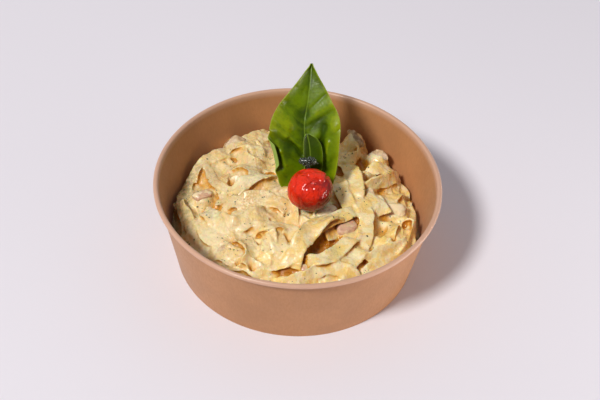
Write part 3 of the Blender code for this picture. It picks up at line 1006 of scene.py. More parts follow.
def sweep_noodles(noodles, finish):
    """One mesh of all noodles, each a closed rounded strip along its path."""
    curve = bpy.data.curves.new("noodle_paths", "CURVE")
    curve.dimensions = "3D"
    for path, tilt, width in noodles:
        spline = curve.splines.new("POLY")
        picked = list(range(0, len(path), 2))
        spline.points.add(len(picked) - 1)
        spline.points.foreach_set("co", np.column_stack((path[picked], np.ones(len(picked)))).ravel())
        spline.points.foreach_set("tilt", tilt[picked])
        spline.points.foreach_set("radius", width[picked])
    drawn = bpy.data.objects.new("noodle_paths", curve)
    bpy.context.scene.collection.objects.link(drawn)
    modifier = drawn.modifiers.new("Sweep", "NODES")
    modifier.node_group = noodle_sweep(finish)
    graph = bpy.context.evaluated_depsgraph_get()
    mesh = bpy.data.meshes.new_from_object(drawn.evaluated_get(graph))
    bpy.data.objects.remove(drawn)
    return mesh


def sauce_surface(heap, settings):
    """Heights of the sauce between the noodles: thick at the left, thin at the right."""
    soft = heap.blurred(settings.sauce_softness)
    cover = cover_share(heap.x, heap.y)
    flat = np.column_stack((heap.x.ravel(), heap.y.ravel(), np.zeros(heap.x.size)))
    lumps = layered_noise(flat, 7 * MM, 21).reshape(heap.x.shape)
    gap = settings.thin_sauce * (1 - cover) + settings.thick_sauce * cover
    level = soft - gap + lumps * MM * (0.35 + 0.45 * cover)
    level -= hollow_depth(heap.x, heap.y) * (0.9 - 0.35 * cover)
    for centre, top in toppings():
        share = topping_share(heap.x, heap.y, centre, 7.5 * MM)
        level += share * (centre.z + 0.5 * (top - centre.z) - level)
    return level


def sauce_body(heap, level):
    """Closed body under the sauce's surface, out to the bowl's wall and down to the core."""
    rings = 96
    spokes = 480
    share = np.linspace(0, 1, rings + 1)[1:]
    bearing = np.linspace(0, math.tau, spokes, endpoint=False)
    round_x = np.cos(bearing)
    round_y = np.sin(bearing)
    edge = wall_radius(HEAP_EDGE + 2 * MM) + 0.15 * MM
    x = share[:, None] * edge * round_x
    y = share[:, None] * edge * round_y
    spots = np.stack((x, y), axis=-1)
    z = level[heap.cells(spots)]
    z[-1] = np.maximum(z[-1], BODY_FLOOR + 3 * MM)
    edge = wall_radius(z[-1]) + 0.15 * MM
    x[-1] = edge * round_x
    y[-1] = edge * round_y
    foot = wall_radius(BODY_FLOOR) + 0.1 * MM
    points = np.concatenate((
        np.stack((x, y, z), axis=-1).reshape(-1, 3),
        np.stack((foot * round_x, foot * round_y, np.full(spokes, BODY_FLOOR)), axis=-1),
        [[0, 0, level[heap.cells(np.zeros(2))]], [0, 0, BODY_FLOOR]],
    ))
    faces = grid_faces(rings + 1, spokes, closed=True)
    close_ends(faces, spokes, rings * spokes, len(points) - 2, len(points) - 1)
    return points, faces


def exposure(points, normals, tree, reach):
    """Share of the sky that each point sees, from a few rays up and outward."""
    rays = [Vector((0, 0, 1))]
    for ring, tilt in ((4, 35), (6, 65)):
        out = math.sin(math.radians(tilt))
        up = math.cos(math.radians(tilt))
        for step in range(ring):
            bearing = math.tau * (step + 0.3) / ring
            rays.append(Vector((out * math.cos(bearing), out * math.sin(bearing), up)))
    seen = np.zeros(len(points))
    for index, (point, normal) in enumerate(zip(points, normals)):
        start = Vector(point) + Vector(normal) * 0.25 * MM
        clear = 0
        for ray in rays:
            if tree.ray_cast(start, ray, reach)[0] is None:
                clear += 1
        seen[index] = clear / len(rays)
    return seen


def spread_over_edges(mesh, values, rounds):
    """Average a number over neighbouring points a few times."""
    edges = np.empty(len(mesh.edges) * 2, np.int64)
    mesh.edges.foreach_get("vertices", edges)
    edges = edges.reshape(-1, 2)
    count = np.bincount(edges.ravel(), minlength=len(values)) + 1.0
    for _ in range(rounds):
        total = values.copy()
        np.add.at(total, edges[:, 0], values[edges[:, 1]])
        np.add.at(total, edges[:, 1], values[edges[:, 0]])
        values = total / count
    return values


def rough_up(mesh):
    """Give the sauced noodles their grain: cheese curds where the sauce is thick, small waves elsewhere."""
    points = read_points(mesh)
    normals = read_normals(mesh)
    cover = cover_share(points[:, 0], points[:, 1])
    curds = 0.42 - np.abs(layered_noise(points, 4.2 * MM, 31, 2))
    lumps = layered_noise(points, 3.2 * MM, 35, 2)
    crumbs = layered_noise(points, 1.7 * MM, 39, 1)
    shift = MM * ((0.30 + 0.05 * cover) * lumps - (0.26 + 0.46 * cover) * curds + 0.14 * crumbs)
    shift += 0.5 * MM * layered_noise(points, 7 * MM, 37, 1)
    shift *= smoothstep(BODY_FLOOR, BODY_FLOOR + 4 * MM, points[:, 2])
    points += normals * shift[:, None]
    for spot, radius, deep in PITS:
        pit = deep * MM * np.exp(-(away_from(spot, radius, points[:, 0], points[:, 1]) ** 4))
        points[:, 2] -= pit * smoothstep(HEAP_EDGE - 4 * MM, HEAP_EDGE, points[:, 2])
    write_points(mesh, points)


def mark_surface(mesh):
    """Store where the noodles are bare and painted in shade in hollows and undersides, where they are
    toasted or greenish, and where flecks lie.
    """
    points = read_points(mesh)
    normals = read_normals(mesh)
    polygons = [polygon.vertices[:] for polygon in mesh.polygons]
    tree = BVHTree.FromPolygons(points.tolist(), polygons)
    seen = exposure(points, normals, tree, 14 * MM)
    seen = spread_over_edges(mesh, seen, 2)
    # Painted shade in hollows and on undersides, from little sky seen and downward faces; it also marks
    # bare noodle there.
    under = smoothstep(0.30, -0.25, normals[:, 2])
    bare_and_shade = np.clip(1.15 * (1 - smoothstep(0.18, 0.82, seen)) + 0.55 * under, 0, 1)
    x, y = points[:, 0], points[:, 1]
    cover = cover_share(x, y)
    browned = np.zeros(len(points))
    for spot, radius, strength in TOASTED:
        browned = np.maximum(browned, strength * np.exp(-(away_from(spot, radius, x, y) ** 2)))
    browned *= smoothstep(0.1, 0.7, normals[:, 2])
    pooled = np.zeros(len(points))
    for spot, radius in POOLS:
        pooled = np.maximum(pooled, 0.85 * np.exp(-(away_from(spot, radius, x, y) ** 4)))
    write_attribute(mesh, "pooled", pooled * smoothstep(0.2, 0.7, seen))
    left_wall = smoothstep(-50 * MM, -62 * MM, x) * smoothstep(-34 * MM, -10 * MM, y)
    write_attribute(mesh, "bare_and_shade", bare_and_shade * (1 - 0.25 * cover))
    write_attribute(mesh, "noodle", 0.5 * (1 - cover))
    write_attribute(mesh, "covered", cover)
    write_attribute(mesh, "browned", browned)
    write_attribute(mesh, "green", 0.8 * left_wall + 0.2 * cover)
    clusters = smoothstep(0.0, 0.6, layered_noise(points, 7 * MM, 17))
    open_sky = smoothstep(0.2, 0.6, normals[:, 2]) * smoothstep(0.35, 0.7, seen)
    write_attribute(mesh, "fleck_share", open_sky * (0.06 + 0.94 * clusters))


def hold_inside(mesh):
    """Keep the noodles within the wall, just touching its paper."""
    points = read_points(mesh)
    radius = np.hypot(points[:, 0], points[:, 1])
    limit = wall_radius(points[:, 2]) + 0.12 * MM
    points[:, :2] *= np.minimum(1.0, limit / np.maximum(radius, MM))[:, None]
    write_points(mesh, points)


def build_noodles(settings):
    """The noodles and their sauce as one skin, over a core that fills the bowl below."""
    finish = pasta_finish(settings.cream, settings.noodle, settings.bare_and_shade, settings.browned)
    heap, noodles = lay_heap(settings)
    strips = sweep_noodles(noodles, finish)
    level = sauce_surface(heap, settings)
    points, faces = sauce_body(heap, level)
    strip_points = read_points(strips)
    first = len(points)
    faces += [[first + corner for corner in polygon.vertices] for polygon in strips.polygons]
    pasta = new_object("fettuccine_in_sauce", np.concatenate((points, strip_points)), faces, finish)
    wrap_in_skin(pasta, settings.skin_size, settings.most_triangles, SAUCE_COAT)
    hold_inside(pasta.data)
    rough_up(pasta.data)
    mark_surface(pasta.data)
    pasta.data.materials.clear()
    pasta.data.materials.append(finish)
    hand_in(pasta, ["fettuccine"])
    build_core(finish)


def build_core(finish):
    """The hidden mass of noodles under the laid ones, from the bowl's floor up."""
    spokes = 96
    paper = bpy.context.scene.alfredo_bowl.paper
    floor = BASE_LIFT + paper + 0.05 * MM
    top = BODY_FLOOR + 2.0 * MM
    section = [(wall_radius(floor) - FLOOR_FILLET, floor)]
    section += [(wall_radius(z) - 0.1 * MM, z) for z in np.linspace(floor + FLOOR_FILLET, top, 6)]
    section += [(0.6 * wall_radius(top), top)]
    points = turn_round(section, spokes) + [(0, 0, floor), (0, 0, top)]
    faces = grid_faces(len(section), spokes, closed=True)
    close_ends(faces, spokes, (len(section) - 1) * spokes, len(points) - 2, len(points) - 1)
    core = new_object("fettuccine_core", points, faces, finish)
    face_outward(core.data)
    hand_in(core, ())


# ---------------------------------------------------------------- tomato


# Creases of the skin: directions from the middle to its start and its end, depth in millimetres, width.
TOMATO_CREASES = (
    ((0.95, -0.1, 0.30), (0.25, -0.95, -0.15), 0.7, 0.045),
    ((0.85, 0.0, 0.55), (0.55, -0.75, 0.35), 0.5, 0.035),
    ((-0.45, -0.85, 0.25), (-0.38, -0.78, -0.5), 0.6, 0.04),
    ((-0.1, -0.5, 0.85), (0.5, -0.4, 0.75), 0.4, 0.04),
)


def build_tomato(settings):
    """The cherry tomato: wrinkled round the stem end, with creases down its sides."""
    low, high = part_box("cherry_tomato")
    centre = (low + high) / 2
    radius = (high.x - low.x) / 2
    rings = 100
    spokes = 160
    polar = np.linspace(0, math.pi, rings + 1)[1:-1]
    bearing = np.linspace(0, math.tau, spokes, endpoint=False)
    polar, bearing = np.meshgrid(polar, bearing, indexing="ij")
    level = np.sin(polar)
    way = np.stack((level * np.cos(bearing), level * np.sin(bearing), np.cos(polar)), axis=-1)
    way = np.concatenate((way.reshape(-1, 3), [[0, 0, 1], [0, 0, -1]]))
    faces = grid_faces(rings - 1, spokes, closed=True)
    close_ends(faces, spokes, (rings - 2) * spokes, len(way) - 2, len(way) - 1)
    turn = Euler((math.radians(-28), math.radians(-6), 0)).to_matrix()
    shape = way * radius * (0.975, 0.99, 0.90)
    shape = shape @ np.array(turn).T
    high_up = smoothstep(-0.2, 0.9, way[:, 2])
    stretched = way * (1.0, 1.0, 0.45)
    folds = (1 - np.minimum(np.abs(layered_noise(stretched, 0.40, 51, 2)) / 0.32, 1)) ** 1.4
    swirl = layered_noise(way, 0.8, 61)
    dimples = lattice_noise(way, 0.24, 57)
    pucker = layered_noise(stretched + 3.0, 0.30, 63, 1)
    lift = 0.3 * swirl + 0.55 * high_up * pucker + 0.14 * dimples
    lift -= settings.wrinkle / MM * (0.35 + 0.65 * high_up) * folds
    out = shape / np.linalg.norm(shape, axis=1, keepdims=True)
    for start, end, deep, wide in TOMATO_CREASES:
        a = np.array(start) / np.linalg.norm(start)
        b = np.array(end) / np.linalg.norm(end)
        along = np.clip(((out - a) @ (b - a)) / ((b - a) @ (b - a)), 0, 1)
        nearest = a + along[:, None] * (b - a)
        nearest /= np.linalg.norm(nearest, axis=1, keepdims=True)
        away = np.linalg.norm(out - nearest, axis=1) + 0.02 * swirl
        lift -= deep * np.exp(-((away / wide) ** 2)) * np.sin(math.pi * np.clip(along, 0.02, 0.98)) ** 0.5
    points = shape + out * np.minimum(lift + 0.2, 0.4)[:, None] * MM
    points += np.array(centre) + np.array((0.3, 0.0, -0.8)) * MM
    tomato = new_object("roasted_tomato", points, faces)
    face_outward(tomato.data)
    # Mask of painted shade in the wrinkles' furrows.
    write_attribute(tomato.data, "furrow_shade", np.clip(folds * (0.3 + 0.7 * high_up), 0, 1))
    # Share of painted shade, rising towards the lower right, away from the key light.
    shaded_side = 0.5 + 0.55 * (out @ np.array((0.62, -0.25, -0.6)))
    write_attribute(tomato.data, "shaded_side", shaded_side)
    tomato.data.materials.append(tomato_finish(settings.light, settings.deep))
    hand_in(tomato, ["cherry_tomato"])


# ---------------------------------------------------------------- basil

LEAF_LENGTH = 69.0 * MM
LEAF_LEAN = math.radians(27)
LEAF_CUP = 9.0 * MM
LEAF_SKIN = 0.45 * MM
VEIN_GAP = 12.5 * MM
SMALL_VEIN_GAP = 6.0 * MM
VEIN_SLOPE = 1.0
CURL_OF_LEAF = 1.2 * MM  # radius that the lower left margin rolls round
SMALL_LEAF_LEAN = math.radians(20)
SMALL_LEAF_CUP = 2.4 * MM

# From base to tip, in millimetres: place along the leaf, midrib's shift, width at the left and the right.
LARGE_LEAF = (
    (0.0, 0.0, 7.0, 8.0),
    (6.7, 0.8, 13.4, 14.6),
    (16.5, 1.6, 16.0, 15.6),
    (24.0, 1.2, 17.4, 16.6),
    (31.0, -0.4, 18.4, 18.2),
    (38.0, -0.9, 17.8, 19.2),
    (43.5, -0.4, 16.8, 17.6),
    (49.0, 0.4, 14.2, 13.6),
    (58.4, 1.0, 7.6, 7.4),
    (64.0, 1.2, 3.6, 3.2),
    (69.0, 1.4, 0.3, 0.3),
)
SMALL_LEAF = (
    (0.0, 0.0, 1.6, 3.0),
    (6.0, 0.4, 2.4, 5.0),
    (14.0, 0.4, 3.0, 6.2),
    (21.0, 0.0, 3.4, 6.6),
    (26.0, -0.8, 3.0, 6.2),
    (29.0, -1.6, 2.0, 4.8),
    (31.0, -2.2, 0.8, 2.2),
)

# Folds of the large leaf, in millimetres: points across and along it, lift towards the front, width.
LEAF_LINES = (
    (((-17, 38.5), (-9, 31.5), (-3.5, 25.5)), 1.1, 1.2),
    (((-15, 33), (-8, 26)), -1.0, 2.0),
    (((-14.5, 28.5), (-13.5, 23.5), (-11, 16.5)), 0.9, 1.1),
    (((-16, 24), (-13.5, 15)), -0.8, 1.4),
    (((-8.5, 30), (-3, 21)), -0.9, 1.3),
    (((-14, 48), (-1, 36.5)), -0.6, 0.9),
    (((-10, 49), (-2, 42)), -0.7, 2.0),
    (((-17, 43), (-8, 36)), 0.7, 2.0),
    (((11, 37.5), (8.5, 28.5), (8, 20)), -1.5, 1.8),
    (((12, 29.5), (8.5, 20), (7.5, 16)), 1.0, 1.2),
    (((0.5, 44), (9, 54)), -0.25, 1.0),
    (((0.5, 36), (14, 46)), -0.35, 1.2),
    (((3, 41), (12, 49)), 0.4, 2.4),
    (((5, 31), (15, 38)), 0.35, 2.4),
)


def line_relief(across, along, lines):
    """Ridges and grooves along the folds of a leaf."""
    height = np.zeros(across.shape)
    for points, lift, width in lines:
        for (a, b), (c, d) in zip(points, points[1:]):
            span = (c - a) ** 2 + (d - b) ** 2
            share = np.clip(((across / MM - a) * (c - a) + (along / MM - b) * (d - b)) / span, 0, 1)
            away = np.hypot(across / MM - a - share * (c - a), along / MM - b - share * (d - b))
            height += lift * MM * np.exp(-((away / width) ** 2)) / max(1, len(points) - 1) ** 0.5
    return height


def leaf_quilt(across, along, length):
    """Relief of the blade: sunken midrib and side ribs, with the blade swelling between them."""
    width = np.abs(across)
    spots = np.stack((across.ravel(), along.ravel(), np.zeros(across.size)), axis=1)
    waver = lattice_noise(spots, 9 * MM, 23).reshape(across.shape)
    climb = along - VEIN_SLOPE * width + (across > 0) * 0.42 * VEIN_GAP + 1.8 * MM * waver
    rung = np.abs((climb / VEIN_GAP) % 1.0 - 0.5) * 2
    swell = (1 - rung**2.4) * smoothstep(0.5 * MM, 7 * MM, width) * (1 + 0.5 * waver)
    rib = np.exp(-((width / (1.1 * MM)) ** 2))
    fade = smoothstep(1.0, 0.82, along / length)
    dents = layered_noise(spots * (1.0, 0.65, 1.0), 8 * MM, 29, 2).reshape(across.shape)
    return MM * (0.4 * swell * fade - 0.4 * rib + 0.6 * dents * fade)


def bend_margin(across, forward, limit, radius, most):
    """Roll what lies beyond a limit across the leaf forward round a small radius."""
    over = np.maximum(np.abs(across) - limit, 0)
    angle = np.minimum(over / radius, most)
    rest = over - angle * radius
    side = np.sign(across)
    inward = limit + radius * np.sin(angle) + rest * np.cos(angle)
    ahead = radius * (1 - np.cos(angle)) + rest * np.sin(angle)
    bent = over > 0
    return np.where(bent, side * inward, across), forward + np.where(bent, ahead, 0)


def leaf_sheet(rows, columns, outline, cup, shape_more, lines=()):
    """Points of a leaf's face; for each its place across and along the flat leaf, and its relief."""
    table = np.array(outline) * MM
    length = table[-1, 0]
    share, side = np.meshgrid(np.linspace(0, 1, rows), np.linspace(-1, 1, columns), indexing="ij")
    along = share * length
    stations = along[:, 0]
    widths = [smoothed(np.interp(stations, table[:, 0], row), 0.022 * rows) for row in table.T[1:]]
    middle, left, right = widths
    half_width = np.where(side < 0, left[:, None], right[:, None])
    half_width *= smoothstep(1.06, 0.94, share)
    across = side * half_width
    forward = cup * side**2 * (1 - 0.8 * share) + 0.03 * length * np.sin(math.pi * share)
    x = across.copy()
    if shape_more:
        x, forward, across = shape_more(side, share, x, forward, across)
    relief = leaf_quilt(across, along, length) * min(1.0, length / LEAF_LENGTH + 0.1)
    relief = relief + line_relief(across, along, lines)
    sheet = np.stack((x + middle[:, None], -forward - relief, along), axis=-1)
    return sheet, across, along, np.abs(side), relief


def build_leaf(name, replaced, finish, sheet, across, along, edge, relief, base, lean):
    """A leaf with two faces and a closed rim, stood up on its base."""
    rows, columns = across.shape
    down = np.gradient(sheet, axis=0)
    over = np.gradient(sheet, axis=1)
    normal = np.cross(over, down)
    normal /= np.maximum(np.linalg.norm(normal, axis=-1, keepdims=True), 1e-12)
    back = sheet - normal * LEAF_SKIN
    turn = Matrix.Rotation(-lean, 3, "X")
    points = np.concatenate((sheet.reshape(-1, 3), back.reshape(-1, 3)))
    points = points @ np.array(turn).T + np.array(base)
    size = rows * columns
    faces = grid_faces(rows, columns, closed=False)
    faces += [face[::-1] for face in grid_faces(rows, columns, closed=False, first=size)]
    rim = [(0, column) for column in range(columns - 1)]
    rim += [(row, columns - 1) for row in range(rows - 1)]
    rim += [(rows - 1, column) for column in range(columns - 1, 0, -1)]
    rim += [(row, 0) for row in range(rows - 1, 0, -1)]
    ring = [row * columns + column for row, column in rim]
    for first, second in zip(ring, ring[1:] + ring[:1]):
        faces.append([second, first, first + size, second + size])
    leaf = new_object(name, points, faces, finish)
    face_outward(leaf.data)
    write_attribute(leaf.data, "leaf_across", np.tile(across.ravel(), 2))
    write_attribute(leaf.data, "leaf_along", np.tile(along.ravel(), 2))
    write_attribute(leaf.data, "leaf_edge", np.tile(0.75 * edge.ravel() ** 9, 2))
    # Relief height kept for the finish, which paints shade in the valleys and light on the ridges from it.
    write_attribute(leaf.data, "relief", np.tile(0.5 + relief.ravel() / (2.7 * MM), 2))
    write_attribute(leaf.data, "underside", np.repeat((0.0, 1.0), size))
    hand_in(leaf, replaced)


def shape_large_leaf(side, share, x, forward, across):
    """Fold the lower left lobe, roll its margin forward and wave the right margin."""
    left = np.maximum(-side, 0)
    right = np.maximum(side, 0)
    roll = smoothstep(0.50, 0.40, share) * smoothstep(0.14, 0.26, share)
    extra = np.where(side < 0, 3.2 * MM * roll * smoothstep(0.55, 1.0, left), 0)
    across = across - extra
    x = x - extra
    fold = share - (0.33 + 0.19 * left)
    forward = forward + 2.4 * MM * left * np.exp(-((fold / 0.04) ** 2))
    forward = forward + 2.0 * MM * np.sin(math.pi * left) * smoothstep(0.0, -0.12, fold)
    forward = forward - 1.8 * MM * np.exp(-(((side - 0.42) / 0.12) ** 2)) * smoothstep(0.5, 0.25, share)
    forward = forward + 1.6 * MM * right**2 * np.sin(2 * math.pi * share)
    limit = np.abs(x + extra)[:, :1] - CURL_OF_LEAF
    curled_x, curled_forward = bend_margin(x, forward, limit, CURL_OF_LEAF, math.radians(175))
    curl = roll * (side < -0.3)
    x = x + (curled_x - x) * curl
    forward = forward + (curled_forward - forward) * curl
    forward = forward - 5.0 * MM * share**3
    forward = forward + 0.5 * MM * np.sin(9 * share + 2.0) * np.abs(side) ** 3
    return x, forward, across


def build_basil_leaves(settings):
    """The large standing leaf and the small leaf in front of it."""
    low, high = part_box("basil_leaf")
    base = Vector(((low.x + high.x) / 2, low.y + LEAF_CUP * math.cos(LEAF_LEAN), low.z))
    green, dark, edge, underside = settings.green, settings.dark, settings.edge, settings.underside
    finish = leaf_finish("basil", green, dark, edge, underside, VEIN_GAP)
    sheet = leaf_sheet(180, 120, LARGE_LEAF, LEAF_CUP, shape_large_leaf, LEAF_LINES)
    build_leaf("basil_leaf_large", ["basil_leaf"], finish, *sheet, base, LEAF_LEAN)
    low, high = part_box("basil_leaf_small")
    base = Vector(((low.x + high.x) / 2, low.y + SMALL_LEAF_CUP * math.cos(SMALL_LEAF_LEAN), low.z))
    young = leaf_finish("young_basil", dark, [0.7 * c for c in dark], green, underside, SMALL_VEIN_GAP)
    sheet = leaf_sheet(80, 44, SMALL_LEAF, SMALL_LEAF_CUP, None)
    build_leaf("basil_leaf_inner", ["basil_leaf_small"], young, *sheet, base, SMALL_LEAF_LEAN)


GRAIN_TILT = 0.3  # how far a grain tips from the surface, in radians


def scatter_tree(name, finish, subdivisions, density, seed, keep_surface):
    """Geometry Nodes tree that sets small rounded grains on a surface, turned with it."""
    inputs = (
        ("Grains per square metre", "NodeSocketFloat", density),
        ("Smallest grain", "NodeSocketVector", (0.4 * MM, 0.3 * MM, 0.15 * MM)),
        ("Largest grain", "NodeSocketVector", (1.0 * MM, 0.6 * MM, 0.3 * MM)),
        ("Seed", "NodeSocketInt", seed),
    )
    tree, group = start_tree(name, inputs)
    surface, seeds = group["Geometry"], group["Seed"]
    share = add_node(tree, "GeometryNodeInputNamedAttribute", {"Name": "fleck_share"}, data_type="FLOAT")
    factors = {0: share["Attribute"], 1: group["Grains per square metre"]}
    amount = add_node(tree, "ShaderNodeMath", factors, operation="MULTIPLY")[0]
    spread = {"Mesh": surface, "Density": amount, "Seed": seeds}
    points = add_node(tree, "GeometryNodeDistributePointsOnFaces", spread)
    grain = add_node(tree, "GeometryNodeMeshIcoSphere", {"Radius": 1.0, "Subdivisions": subdivisions})
    sizes = {"Min": group["Smallest grain"], "Max": group["Largest grain"], "Seed": seeds}
    size = add_node(tree, "FunctionNodeRandomValue", sizes, data_type="FLOAT_VECTOR")
    turns = {"Min": (-GRAIN_TILT, -GRAIN_TILT, 0.0), "Max": (GRAIN_TILT, GRAIN_TILT, math.tau)}
    turn = add_node(tree, "FunctionNodeRandomValue", turns, data_type="FLOAT_VECTOR")
    turned = {"Rotation": points["Rotation"], "Rotate By": turn["Value"]}
    rotation = add_node(tree, "FunctionNodeRotateRotation", turned, rotation_space="LOCAL")
    placed = {
        "Points": points["Points"],
        "Instance": grain["Mesh"],
        "Rotation": rotation["Rotation"],
        "Scale": size["Value"],
    }
    grains = add_node(tree, "GeometryNodeInstanceOnPoints", placed)["Instances"]
    joined = add_node(tree, "GeometryNodeJoinGeometry", {"Geometry": grains})["Geometry"]
    if keep_surface:
        tree.links.new(surface, joined.node.inputs["Geometry"])
    end_tree(tree, joined, finish)
    return tree


def scatter(name, surface, finish, density, smallest, largest, seed, subdivisions=1, keep_surface=False):
    """A mesh of grains that lie on a surface."""
    obj = bpy.data.objects.new(name, surface.data.copy())
    bpy.context.scene.collection.objects.link(obj)
    tree = scatter_tree(name, finish, subdivisions, density, seed, keep_surface)
    modifier = obj.modifiers.new("Scatter", "NODES")
    modifier.node_group = tree
    for socket in tree.interface.items_tree:
        if socket.name == "Smallest grain":
            modifier[socket.identifier] = smallest
        if socket.name == "Largest grain":
            modifier[socket.identifier] = largest
    return bake_modifiers(obj)


BUDS_SIZE = (10.5 * MM, 3.6 * MM, 4.8 * MM)
BUDS_PER_SQUARE_METRE = 9.0e5


def build_buds(settings):
    """The dark tuft of buds on its stem, between the leaf and the tomato."""
    low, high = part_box("basil_buds")
    size = Vector(BUDS_SIZE)
    centre = Vector(((low.x + high.x) / 2, (low.y + high.y) / 2, high.z - size.z / 2))
    bm = bmesh.new()
    bmesh.ops.create_icosphere(bm, subdivisions=3, radius=0.5)
    for vert in bm.verts:
        vert.co = vert.co * size * 0.86
        vert.co.z += 0.5 * MM * math.sin(vert.co.x * 900)
        vert.co += centre
    stem = bmesh.ops.create_cone(
        bm, cap_ends=True, segments=16, radius1=0.9 * MM, radius2=0.8 * MM, depth=centre.z - low.z
    )["verts"]
    for vert in stem:
        vert.co += Vector((centre.x, centre.y, (centre.z + low.z) / 2))
    mesh = bpy.data.meshes.new("bud_core")
    bm.to_mesh(mesh)
    bm.free()
    mesh.shade_smooth()
    core = bpy.data.objects.new("bud_core", mesh)
    points = read_points(mesh)
    write_attribute(mesh, "fleck_share", points[:, 2] > centre.z - size.z / 2)
    finish = bud_finish(settings.bud)
    small = (0.45 * MM, 0.35 * MM, 0.5 * MM)
    large = (0.85 * MM, 0.65 * MM, 1.1 * MM)
    buds = scatter("basil_bud_tuft", core, finish, BUDS_PER_SQUARE_METRE, small, large, 8, 2, True)
    bpy.data.objects.remove(core)
    buds.data.materials.clear()
    buds.data.materials.append(finish)
    hand_in(buds, ["basil_buds"])


# ---------------------------------------------------------------- chicken and mushroom

# Size (long, wide, thick) in millimetres and turn in degrees; for chicken also how far cream covers it.
CHICKEN = (
    ((13.0, 6.5, 5.0), (14, 0, 39), 0.7),
    ((14.0, 9.0, 8.0), (15, 10, -8), 0.9),
    ((9.0, 6.5, 5.0), (10, 0, 20), 0.8),
    ((12.0, 6.5, 6.0), (8, 0, 40), 0.5),
    ((13.0, 7.5, 7.0), (15, 0, 33), 0.2),
    ((10.5, 6.0, 5.5), (10, 0, 4), 0.6),
)
MUSHROOMS = (
    ((15.0, 5.6, 3.0), (82, 8, -52)),
    ((11.5, 7.0, 4.2), (48, 0, -14)),
    ((12.5, 6.5, 4.0), (40, 0, 22)),
    ((12.0, 7.5, 3.8), (18, 0, -30)),
)


def settle(points, turn, node):
    """Turn a piece's points as its CAD node is turned, and fit them inside that node's box."""
    angles = [math.radians(angle) for angle in turn]
    points = points @ np.array(Euler(angles).to_matrix()).T
    points = points - (points.min(axis=0) + points.max(axis=0)) / 2
    low, high = (np.array(corner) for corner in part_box(node))
    room = (high - low) / 2 / np.abs(points).max(axis=0)
    return (low + high) / 2 + points * np.minimum(1.0, room)


def build_chicken(settings):
    """Torn strips of chicken, rounded and fibrous along their length, mostly under cream."""
    finish = chicken_finish(settings.meat, settings.cream)
    for number, (size, turn, coat) in enumerate(CHICKEN, start=1):
        bm = bmesh.new()
        bmesh.ops.create_cube(bm, size=1.0)
        bmesh.ops.subdivide_edges(bm, edges=bm.edges, cuts=27, use_grid_fill=True)
        mesh = bpy.data.meshes.new("chicken")
        bm.to_mesh(mesh)
        bm.free()
        way = read_points(mesh)
        way /= np.linalg.norm(way, axis=1, keepdims=True)
        rounded = np.sign(way) * np.abs(way) ** 0.6
        block = rounded * np.array(size) * MM * 0.44
        normal = block / np.linalg.norm(block, axis=1, keepdims=True)
        bent = block[:, 1] + 0.9 * MM * np.sin(block[:, 0] / (0.4 * size[0] * MM) + number)
        torn = layered_noise(block + number, 5.5 * MM, 70 + number) * 1.1 * MM
        fibre = lattice_noise(block * (0.25, 1.0, 1.0), 1.5 * MM, 80 + number) * 0.3 * MM
        block[:, 1] = bent
        block = block + normal * (torn + fibre)[:, None]
        placed = settle(block, turn, f"chicken_piece_{number}")
        faces = [list(polygon.vertices) for polygon in mesh.polygons]
        piece = new_object(f"chicken_strip_{number}", placed, faces, finish)
        bpy.data.meshes.remove(mesh)
        up = read_normals(piece.data)[:, 2]
        write_attribute(piece.data, "coated", coat * smoothstep(-0.1, 0.85, up))
        hand_in(piece, [f"chicken_piece_{number}"])


def mushroom_slice(width, height, thickness, seed):
    """Points and faces of a slice through cap and stem, with worn edges; also its skin and gill shares."""
    cap = arc((0.0, 0.0), 1.0, 0.0, math.pi, 22)
    outline = [(x * width / 2, y * height * 0.62) for x, y in cap]
    brim = -0.1 * height
    outline += [(-0.42 * width, brim), (-0.30 * width, 0.2 * brim), (-0.17 * width, 0.6 * brim)]
    outline += [(-0.15 * width, 2.2 * brim), (-0.16 * width, 3.8 * brim), (0.0, 4.2 * brim)]
    outline += [(0.16 * width, 3.8 * brim), (0.15 * width, 2.2 * brim), (0.17 * width, 0.6 * brim)]
    outline += [(0.30 * width, 0.2 * brim), (0.42 * width, brim)]
    outline = np.array(outline)
    middle = np.array((0.0, 0.18 * height))
    rows = []
    levels = ((0.25, 0.5), (0.6, 0.5), (0.88, 0.5), (0.97, 0.42), (1.0, 0.2), (1.0, -0.2), (0.97, -0.42))
    levels += ((0.88, -0.5), (0.6, -0.5), (0.25, -0.5))
    for share, side in levels:
        ring = middle + (outline - middle) * share
        rows.append(np.column_stack((ring, np.full(len(ring), side * thickness))))
    points = np.concatenate(rows + [[[*middle, thickness / 2]], [[*middle, -thickness / 2]]])
    columns = len(outline)
    faces = grid_faces(len(levels), columns, closed=True)
    close_ends(faces, columns, (len(levels) - 1) * columns, len(points) - 2, len(points) - 1)
    radius = np.hypot(points[:, 0] / (width / 2), points[:, 1] / (height * 0.62))
    skin = smoothstep(0.93, 0.99, radius) * (points[:, 1] > 0)
    gill = smoothstep(0.10, 0.03, np.abs(points[:, 1] - 0.06 * height) / height)
    from_stem = np.abs(points[:, 0]) / width
    gill *= smoothstep(0.16, 0.2, from_stem) * smoothstep(0.46, 0.40, from_stem)
    worn = np.stack([layered_noise(points, 5 * MM, seed + axis, 2) for axis in range(3)], axis=1)
    return points + worn * 1.5 * MM, faces, skin, 0.7 * gill


